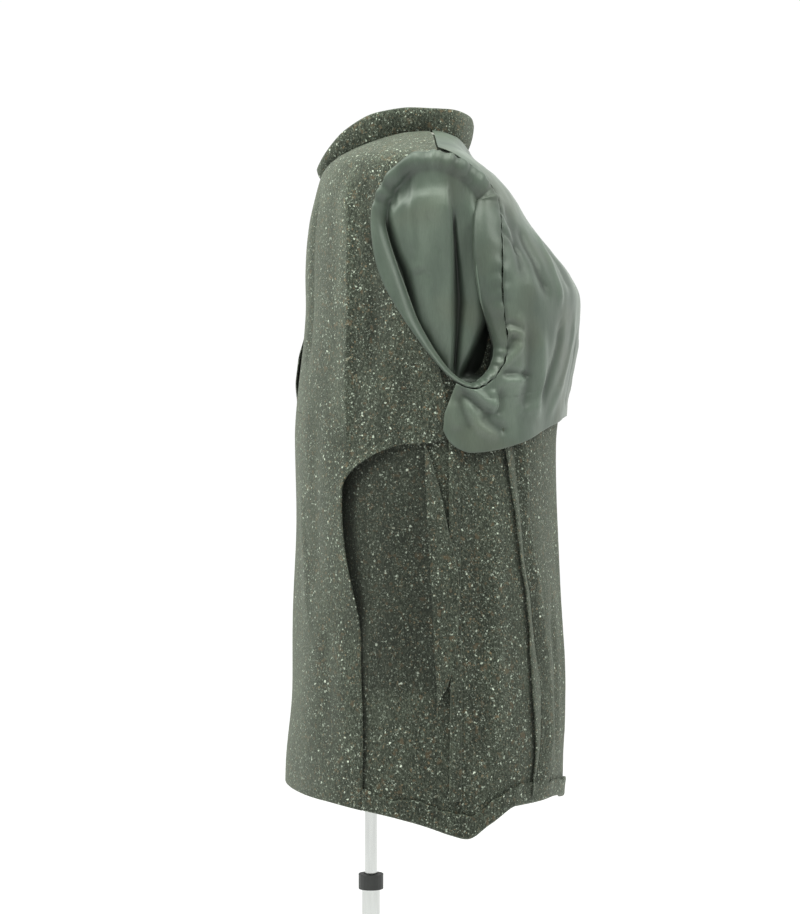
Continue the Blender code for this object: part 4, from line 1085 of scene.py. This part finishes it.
def make_collar():
    """The collar: two layers that turn over at the top in one soft roll."""
    cols, half = 241, 2.0 * MM
    ang = np.linspace(1.5, 180, cols // 2 + 1)
    foot_w = w_of_z(table(NECK, ang))
    normal = body_normal(rad(ang), foot_w)
    foot = body(rad(ang), foot_w) + normal * 1.2 * MM
    ct = np.array(COLLAR_TOP, float)
    top = np.stack([smooth_read(ct[:, 0], ct[:, k], ang) for k in (1, 2, 3)], -1)
    up = unit(top - foot)
    foot = foot + up * 1.0 * MM
    top = top - up * 1.2 * MM
    out = unit(np.cross(np.gradient((foot + top) / 2, axis=0), up))
    out = out * np.sign(np.sum(out * (foot - foot.mean(0)) * (1, 1, 0), axis=-1, keepdims=True))
    length = np.linalg.norm(top - foot, axis=-1)[:, None]
    wave = 0.8 * np.sin(ang / 9.0)[:, None] + 0.4 * np.sin(ang / 3.1)[:, None]
    ring = []
    # across: up along the outside, over the top and down the inside. Columns: share of the height, side
    profile = [(0.00, 0.55), (0.04, 0.95), (0.12, 1.0), (0.25, 1.05), (0.40, 1.10), (0.55, 1.15), (0.70, 1.20), (0.82, 1.25), (0.91, 1.20),
               (0.965, 0.95), (0.992, 0.55), (1.0, 0.0), (0.992, -0.55), (0.965, -0.95), (0.91, -1.1), (0.80, -1.0), (0.60, -1.0), (0.40, -1.0),
               (0.20, -1.0), (0.05, -0.9), (0.0, -0.5)]
    for v, d in profile:
        bow = (1.6 + 0.4 * wave) * MM * math.sin(math.pi * min(v, 1.0))
        ring.append(foot + up * length * v + out * (half * d + bow))
    right = np.array(ring)
    left = right[:, -2::-1] * (-1, 1, 1)
    g = np.concatenate([right, left], 1)
    rows, n = g.shape[:2]
    idx = np.arange(rows * n).reshape(rows, n)
    nxt = np.roll(idx, -1, axis=0)
    quads = np.stack([idx[:, :-1], idx[:, 1:], nxt[:, 1:], nxt[:, :-1]], -1).reshape(-1, 4)
    ends = []
    for k in (0, n - 1):
        a = [(i, rows - 1 - i) for i in range(rows // 2)]
        for (i, j), (i2, j2) in zip(a[:-1], a[1:]):
            e = (idx[i, k], idx[i2, k], idx[j2, k], idx[j, k])
            ends.append(e if k == 0 else e[::-1])
    verts = g.reshape(-1, 3)
    v = np.array([p[0] for p in profile])
    # Painted shade and highlight: the collar darker at its foot and on its inside layer, lighter over the top roll.
    shade = np.interp(v, [0, 0.06, 0.15, 0.8, 1.0], [0.62, 0.85, 0.97, 1.03, 1.22])[:, None] * np.where(np.array([p[1] for p in profile]) < 0, 0.9, 1.0)[:, None]
    o = mesh_from("collar_cloth", verts, np.concatenate([quads, np.array(ends)]), [TWEED], np.broadcast_to(shade, (rows, n)).reshape(-1))
    SIZES["collar_cloth"] = (round(float(np.linalg.norm(np.diff(g[5], axis=0), axis=-1).sum()), 3), round(float(length.max()) * 2, 3),
                             round(unfold_area(g) + 0.0, 4))
    rides(o, "collar")


def sleeve_grid(s, cols_t):
    """The sleeve lining's middle from the armhole's edge to the cuff: key rings, then rows between them."""
    t = cols_t
    cols = len(t)
    edge = armhole(t, np.zeros(cols), np.zeros(cols))
    (yc, zc), (hy, hz) = ARM_MIDDLE, ARM_HALF
    phi = np.arctan2((yc - edge[:, 1]) / hy, (edge[:, 2] - zc) / hz)
    reach = np.interp(t, *np.array(ROLL_REACH, float).T, period=len(ARMHOLE))
    reach = np.convolve(np.concatenate([reach[-9:], reach, reach[:9]]), np.hanning(21)[1:-1] / np.hanning(21).sum(), "same")[9:-9]
    rings = [armhole(t, (-1.0 + (1.0 + reach) * u) * MM, np.full(cols, o) * MM) for u, o in ROLL]

    def hanging(z):
        yc, half = (smooth_read([-r[0] for r in SLEEVE], [r[k] for r in SLEEVE], -z) for k in (1, 2))
        r = (np.abs(np.sin(phi)) ** 2.6 + np.abs(np.cos(phi)) ** 2.6) ** (-1 / 2.6)
        y = yc - half * np.sin(phi) * r
        side = body(*locate(y, z))
        return np.stack([side[:, 0] - SLEEVE_GAP - SLEEVE_HALF_DEPTH * (1 + np.cos(phi) * r), y, np.full(cols, z)], -1)

    start, low = rings[-1], hanging(SLEEVE[0][0])
    first = len(rings)
    for e in np.linspace(0, 1, 61)[1:]:
        rings.append(start * (1 - e) + low * e)
    for z in np.linspace(1.105, 0.807, 24):
        rings.append(hanging(z))
    return np.array(rings), phi, first


# The lining beside the armhole's seam: share of its reach into the hole, and outwards (mm).
ROLL = [
    (0.0, 5.0), (0.02, 6.0), (0.08, 6.5), (0.17, 6.5), (0.29, 6.1), (0.42, 5.3),
    (0.56, 4.2), (0.69, 2.8), (0.80, 1.0), (0.89, -1.2), (0.95, -3.8), (1.0, -7.0),
]
ROLL_REACH = [
    # row of the armhole's table, mm
    (0, 12), (1.0, 12), (2.0, 10), (3.0, 8), (3.6, 7), (4.0, 10), (4.6, 14), (5.1, 15), (5.5, 13), (6.0, 8.5), (6.5, 6), (7.0, 4.5),
    (8.0, 4), (9.0, 4), (10.0, 4), (11.0, 6), (11.6, 11), (12.0, 18), (12.8, 25), (13.4, 25), (14.0, 20), (15.0, 13), (16.0, 12),
]


def crease_yz(y, z, rows):
    out = np.zeros(y.shape)
    for height, reach, line in rows:
        c = smooth_line(line, 10)
        taper = window(np.linspace(0, 1, len(c)), 0.25, 0.75, 0.25)
        d2 = (y[..., None] - c[:, 0]) ** 2 + (z[..., None] - c[:, 1]) ** 2
        i = d2.argmin(-1)
        out += height * MM * np.exp(-d2.min(-1) / (reach * MM) ** 2) * taper[i]
    return out


def soft_step(x, width):
    t = np.clip(x / width * 0.5 + 0.5, 0, 1)
    return t * t * (3 - 2 * t)


def make_sleeve(s, side):
    flip = side == "left"
    marks = np.concatenate([s["front"][::-1], s["under"][1:], s["rear"][1:-1]])
    n = len(ARMHOLE)
    # more columns where the sharp fold runs down from the shoulder
    fine = np.linspace(0, n, 313)[:-1]
    dense = np.interp(fine, np.linspace(0, n, len(marks) + 1), np.concatenate([marks, [n]]))
    rings, phi, first = sleeve_grid(s, dense)
    y, z = rings[..., 1], rings[..., 2]
    rows = np.arange(len(rings))[:, None]
    deep = np.clip((rows - first) / 5.0, 0, 1)  # 0 at the mouth, 1 a little way in
    far_wall = np.clip(np.cos(phi) * 2.2 + 0.55, 0, 1)[None, :] * deep
    gone = window(z, 1.125, 1.7, 0.03)  # fades out below the armhole

    k = 1.0 if not flip else 0.8
    dy = 0.0 if not flip else 0.004
    left = table([(a, b) for a, b in FLAP_EDGE], np.clip(z, 1.150, 1.340)) + dy
    right = table([(a, b) for a, b in PANEL_EDGE], np.clip(z, 1.150, 1.342)) + dy
    span = window(z, 1.165, 1.318, 0.030)
    inside = soft_step(y - left, 0.0050) * soft_step(right - y, 0.0022)
    lean = np.clip((y - left) / np.maximum(right - left, 0.01), 0, 1)
    h = k * 8.5 * MM * inside * (0.70 + 0.45 * lean) * (0.25 + 0.75 * span)
    # trough right of the panel's sharp edge, widest half way down
    wide = np.interp(z, [1.160, 1.230, 1.305], [0.0018, 0.0050, 0.0015])
    tr = np.exp(-(((y - right - 0.0012 - wide) / wide) ** 2)) * window(z, 1.172, 1.302, 0.020)
    h = h - k * 7.0 * MM * tr
    # hollow behind the flap's free edge, left
    lf = np.exp(-(((y - left + 0.0042) / 0.0050) ** 2)) * window(z, 1.195, 1.312, 0.016)
    h = h - k * 5.0 * MM * lf
    # the fold right of the trough, and the pocket in the lower corner
    mid = np.interp(z, [1.160, 1.230, 1.330], [0.0950, 0.1080, 0.1085])
    fold = np.exp(-(((y - mid) / 0.0125) ** 2)) * window(z, 1.190, 1.330, 0.045)
    h = h + k * 7.0 * MM * fold
    low_side = np.interp(z, [1.156, 1.230], [0.0880, 0.1200])
    high_side = np.interp(z, [1.160, 1.212, 1.232], [0.1170, 0.1240, 0.1235])
    pk = soft_step(y - low_side, 0.0040) * soft_step(high_side - y, 0.0030) * window(z, 1.161, 1.226, 0.007)
    h = h - k * 10.0 * MM * pk
    # A band above the pocket, used only as a painted highlight on the colour.
    band_up = np.exp(-(((y - high_side - 0.0042) / 0.0022) ** 2)) * window(z, 1.165, 1.228, 0.015)
    h = h + crease_yz(y, z, SMALL_CREASES) * span
    x_move = (h + ripple(rings * (1, 1, 0.5), 0.045, 0.55 * MM, 21 + flip)) * far_wall * gone
    grid = rings.copy()
    grid[..., 0] += x_move

    # gathers that run in from the seam over the cap, and puckers all round it
    tt = dense[None, :]
    cap = np.clip(window(tt, -1, 2.6, 0.9) + window(tt, 14.2, 18, 1.0), 0, 1)
    back = window(tt, 10.6, 15.4, 0.8)
    low = window(tt, 8.6, 11.6, 0.6)
    going = np.concatenate([np.zeros((1, len(dense))), np.cumsum(np.linalg.norm(np.diff(rings, axis=0), axis=-1), axis=0)])
    run = np.exp(-((going / (0.012 + 0.012 * cap)) ** 2)) * np.clip(going / 0.0015, 0, 1)
    gather = (
        1.3 * cap * np.sin(tt * 8.1 + 1.7 * np.sin(tt * 2.3))
        + 0.45 * back * np.sin(tt * 19.0 + 2.2 * np.sin(tt * 3.1))
        + 1.1 * low * np.sin(tt * 13.0 + 1.2 * np.sin(tt * 4.1))
        + 0.10 * np.sin(tt * 6.0 + 0.7)
    ) * MM * run
    along = np.gradient(grid, axis=0)
    around = np.roll(grid, -1, axis=1) - np.roll(grid, 1, axis=1)
    nrm = unit(np.cross(around, along))
    middle = grid.mean(axis=1, keepdims=True)
    nrm = nrm * np.sign(np.sum(nrm[-3] * (grid[-3] - middle[-3])))
    grid = grid - nrm * gather[..., None]
    # Painted shade and highlight on the sleeve lining: darker in the fold hollows, the trough, the hollow behind the
    # flap and the pocket; lighter on the fold and the band above the pocket; darker low down deep inside; graded along
    # the rows at the mouth.
    dark = 1 + x_move / MM * 0.028 + gather / MM * 0.10
    dark = dark * (1 - 0.84 * tr * deep) * (1 - 0.66 * lf * deep) * (1 - 0.90 * pk * deep) * (1 + 0.40 * fold * deep) * (1 + 0.55 * band_up * deep)
    dark = dark * (1 - 0.30 * window(z, 1.0, 1.150, 0.05) * deep)
    dark = np.where(rows < first, dark * np.interp(rows, [0, 1, 2, 5, 8, 10, first], [0.55, 0.86, 1.04, 1.02, 0.95, 0.84, 0.74]), dark)
    dark = np.clip(dark, 0.07, 1.3)
    o = shell("sleeve_lining_" + side + "_cloth", grid + nrm * 0.35 * MM, grid - nrm * 0.35 * MM, SATIN_CLOTH, ring=True, mirror=flip, shade=dark)
    rides(o, "sleeve_lining_" + side)

    # the tweed sleeve outside it, from just inside the armhole to its turned cuff
    keep = slice(None, None, 3)
    behind = rings.copy()
    behind[..., 0] -= 7.0 * MM * far_wall * gone
    back_n = unit(np.cross(np.roll(behind, -1, axis=1) - np.roll(behind, 1, axis=1), np.gradient(behind, axis=0)))
    back_n = back_n * np.sign(np.sum(back_n[-3] * (behind[-3] - behind.mean(axis=1, keepdims=True)[-3])))
    g = behind[first + 8 :, keep]
    nn = back_n[first + 8 :, keep]
    extra = np.array([g[-1] + (0, 0, -0.006), g[-1] + (0, 0, -0.0115)])
    g = np.concatenate([g, extra])
    nn = np.concatenate([nn, nn[-1:], nn[-1:]])
    mid = g + nn * SLEEVE_WALL_OUT
    o = shell("sleeve_" + side + "_cloth", mid + nn * 0.7 * MM, mid - nn * 0.7 * MM, TWEED, ring=True, mirror=flip)
    rides(o, "sleeve_" + side)


# ---- the form and its stand ----


def make_form():
    f = np.array(FORM, float)
    z = np.concatenate([np.linspace(0.790, 0.800, 5), np.linspace(0.800, 1.428, 130)[1:]])
    lo, hi, a, m, n = (smooth_read(f[:, 0], f[:, k], z)[:, None] for k in range(1, 6))
    ang = 2 * math.pi * np.arange(160) / 160
    s, c = np.sin(ang)[None], np.cos(ang)[None]
    r = (np.abs(s) ** n + np.abs(c) ** n) ** (-1 / n)
    g = np.stack([a * r * s, m - np.where(c > 0, m - lo, hi - m) * r * c, np.broadcast_to(z[:, None], r.shape)], -1)

    def closed(g, up):
        """Rings that shrink to the middle over the end, softly domed."""
        ring, out = g[-1] if up else g[0], []
        mid = ring.mean(0)
        for q in (0.97, 0.90, 0.75, 0.5, 0.25, 0.04):
            p = mid + (ring - mid) * q
            p[:, 2] += (0.004 if up else -0.001) * (1 - q)
            out.append(p)
        return np.array(out)

    g = np.concatenate([closed(g, False)[::-1], g, closed(g, True)])
    rows, cols = g.shape[:2]
    idx = np.arange(rows * cols).reshape(rows, cols)
    nxt = np.roll(idx, -1, axis=1)
    quads = np.stack([idx[:-1], nxt[:-1], nxt[1:], idx[1:]], -1).reshape(-1, 4)
    ends = []
    for ring in (idx[0], idx[-1][::-1]):
        for i in range(1, cols // 2):
            ends.append((ring[i - 1], ring[cols - i], ring[cols - 1 - i], ring[i]))
    o = mesh_from("dress_form_cover", g.reshape(-1, 3), np.concatenate([quads, np.array(ends)]), [jersey_material("form_jersey")])
    rides(o, "dress_form")


def stand_materials():
    for node, mat in (
        ("pole", metal_material("pole_chrome", (0.62, 0.63, 0.62), 0.10, 1.0, 0.06)),
        ("stand_tube", metal_material("tube_chrome", (0.60, 0.61, 0.60), 0.14, 1.0, 0.06)),
        ("clamp_collar", metal_material("clamp_plastic", (0.030, 0.031, 0.031), 0.45, 0.0, 0.15)),
        ("base", metal_material("base_enamel", (0.60, 0.60, 0.59), 0.38, 0.0, 0.04)),
    ):
        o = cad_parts[node]
        o.data.materials.clear()
        o.data.materials.append(mat)


# ---- floor, light and camera ----


def make_stage():
    m, nodes, links, bsdf = new_material("floor_white")
    coord = nodes.new("ShaderNodeTexCoord").outputs["Object"]
    tone = ramp(nodes, links, noise(nodes, links, coord, 1.5, 2), [(0.3, (0.90, 0.90, 0.90)), (0.7, (0.93, 0.93, 0.93))])
    links.new(tone, bsdf.inputs["Base Color"])
    bsdf.inputs["Roughness"].default_value = 0.9
    bsdf.inputs["Emission Color"].default_value = (1, 1, 1, 1)
    bsdf.inputs["Emission Strength"].default_value = 0.42
    ang = 2 * math.pi * np.arange(64) / 64
    verts = [(0, 0, 0)] + [(40 * math.cos(a), 40 * math.sin(a), 0) for a in ang]
    faces = [(0, 1 + i, 1 + (i + 1) % 64) for i in range(64)]
    mesh = bpy.data.meshes.new("floor")
    mesh.from_pydata(verts, [], faces)
    mesh.materials.append(m)
    o = bpy.data.objects.new("floor", mesh)
    bpy.context.scene.collection.objects.link(o)

    world = bpy.data.worlds.new("studio")
    world.use_nodes = True
    bpy.context.scene.world = world
    nodes, links = world.node_tree.nodes, world.node_tree.links
    back = nodes["Background"]
    coord = nodes.new("ShaderNodeTexCoord").outputs["Generated"]
    sep = nodes.new("ShaderNodeSeparateXYZ")
    links.new(coord, sep.inputs[0])
    # bright behind the object and above it, softer from the open side of the room
    side = math_node(nodes, links, "MULTIPLY_ADD", sep.outputs[0], 0.5)
    side.node.inputs[2].default_value = 0.5
    tone = ramp(nodes, links, side, [(0.0, (1.02, 1.02, 1.02)), (0.42, (1.02, 1.02, 1.02)), (0.60, (0.36, 0.39, 0.35)), (1.0, (0.20, 0.215, 0.195))])
    links.new(tone, back.inputs["Color"])
    back.inputs["Strength"].default_value = 1.0


def soft_box(name, place, aim, size, power):
    light = bpy.data.lights.new(name, "AREA")
    light.shape, light.size, light.size_y = "RECTANGLE", size[0], size[1]
    light.energy = power
    light.color = (0.93, 1.0, 0.90)
    o = bpy.data.objects.new(name, light)
    o.location = place
    d = np.array(aim, float) - np.array(place, float)
    from mathutils import Vector

    o.rotation_mode = "QUATERNION"
    o.rotation_quaternion = Vector(d).to_track_quat("-Z", "Y")
    bpy.context.scene.collection.objects.link(o)


def make_camera():
    cam = bpy.data.cameras.new("camera")
    cam.sensor_width, cam.lens = 36.0, 90.276
    cam.clip_start, cam.clip_end = 0.05, 100
    o = bpy.data.objects.new("camera", cam)
    o.location = (2.4, 0.0304, 1.08)
    o.rotation_euler = (math.pi / 2, 0, math.pi / 2)
    bpy.context.scene.collection.objects.link(o)
    bpy.context.scene.camera = o
    bpy.context.scene.view_settings.view_transform = "Standard"
    bpy.context.scene.view_settings.look = "None"


def main():
    s = lines(FINE)
    for side in ("right", "left"):
        make_fronts(s, side)
        make_side(s, side)
        make_sleeve(s, side)
    make_back(s)
    make_collar()
    make_form()
    stand_materials()
    make_stage()
    soft_box("key_left", (0.75, -1.5, 2.75), (0.12, 0.0, 1.3), (0.9, 1.2), 44)
    soft_box("fill_right", (0.85, 1.5, 2.65), (0.12, 0.1, 1.3), (0.9, 1.2), 24)
    soft_box("top", (0.62, 0.0, 2.35), (0.05, 0.05, 1.3), (0.8, 0.9), 15)
    make_camera()


main()
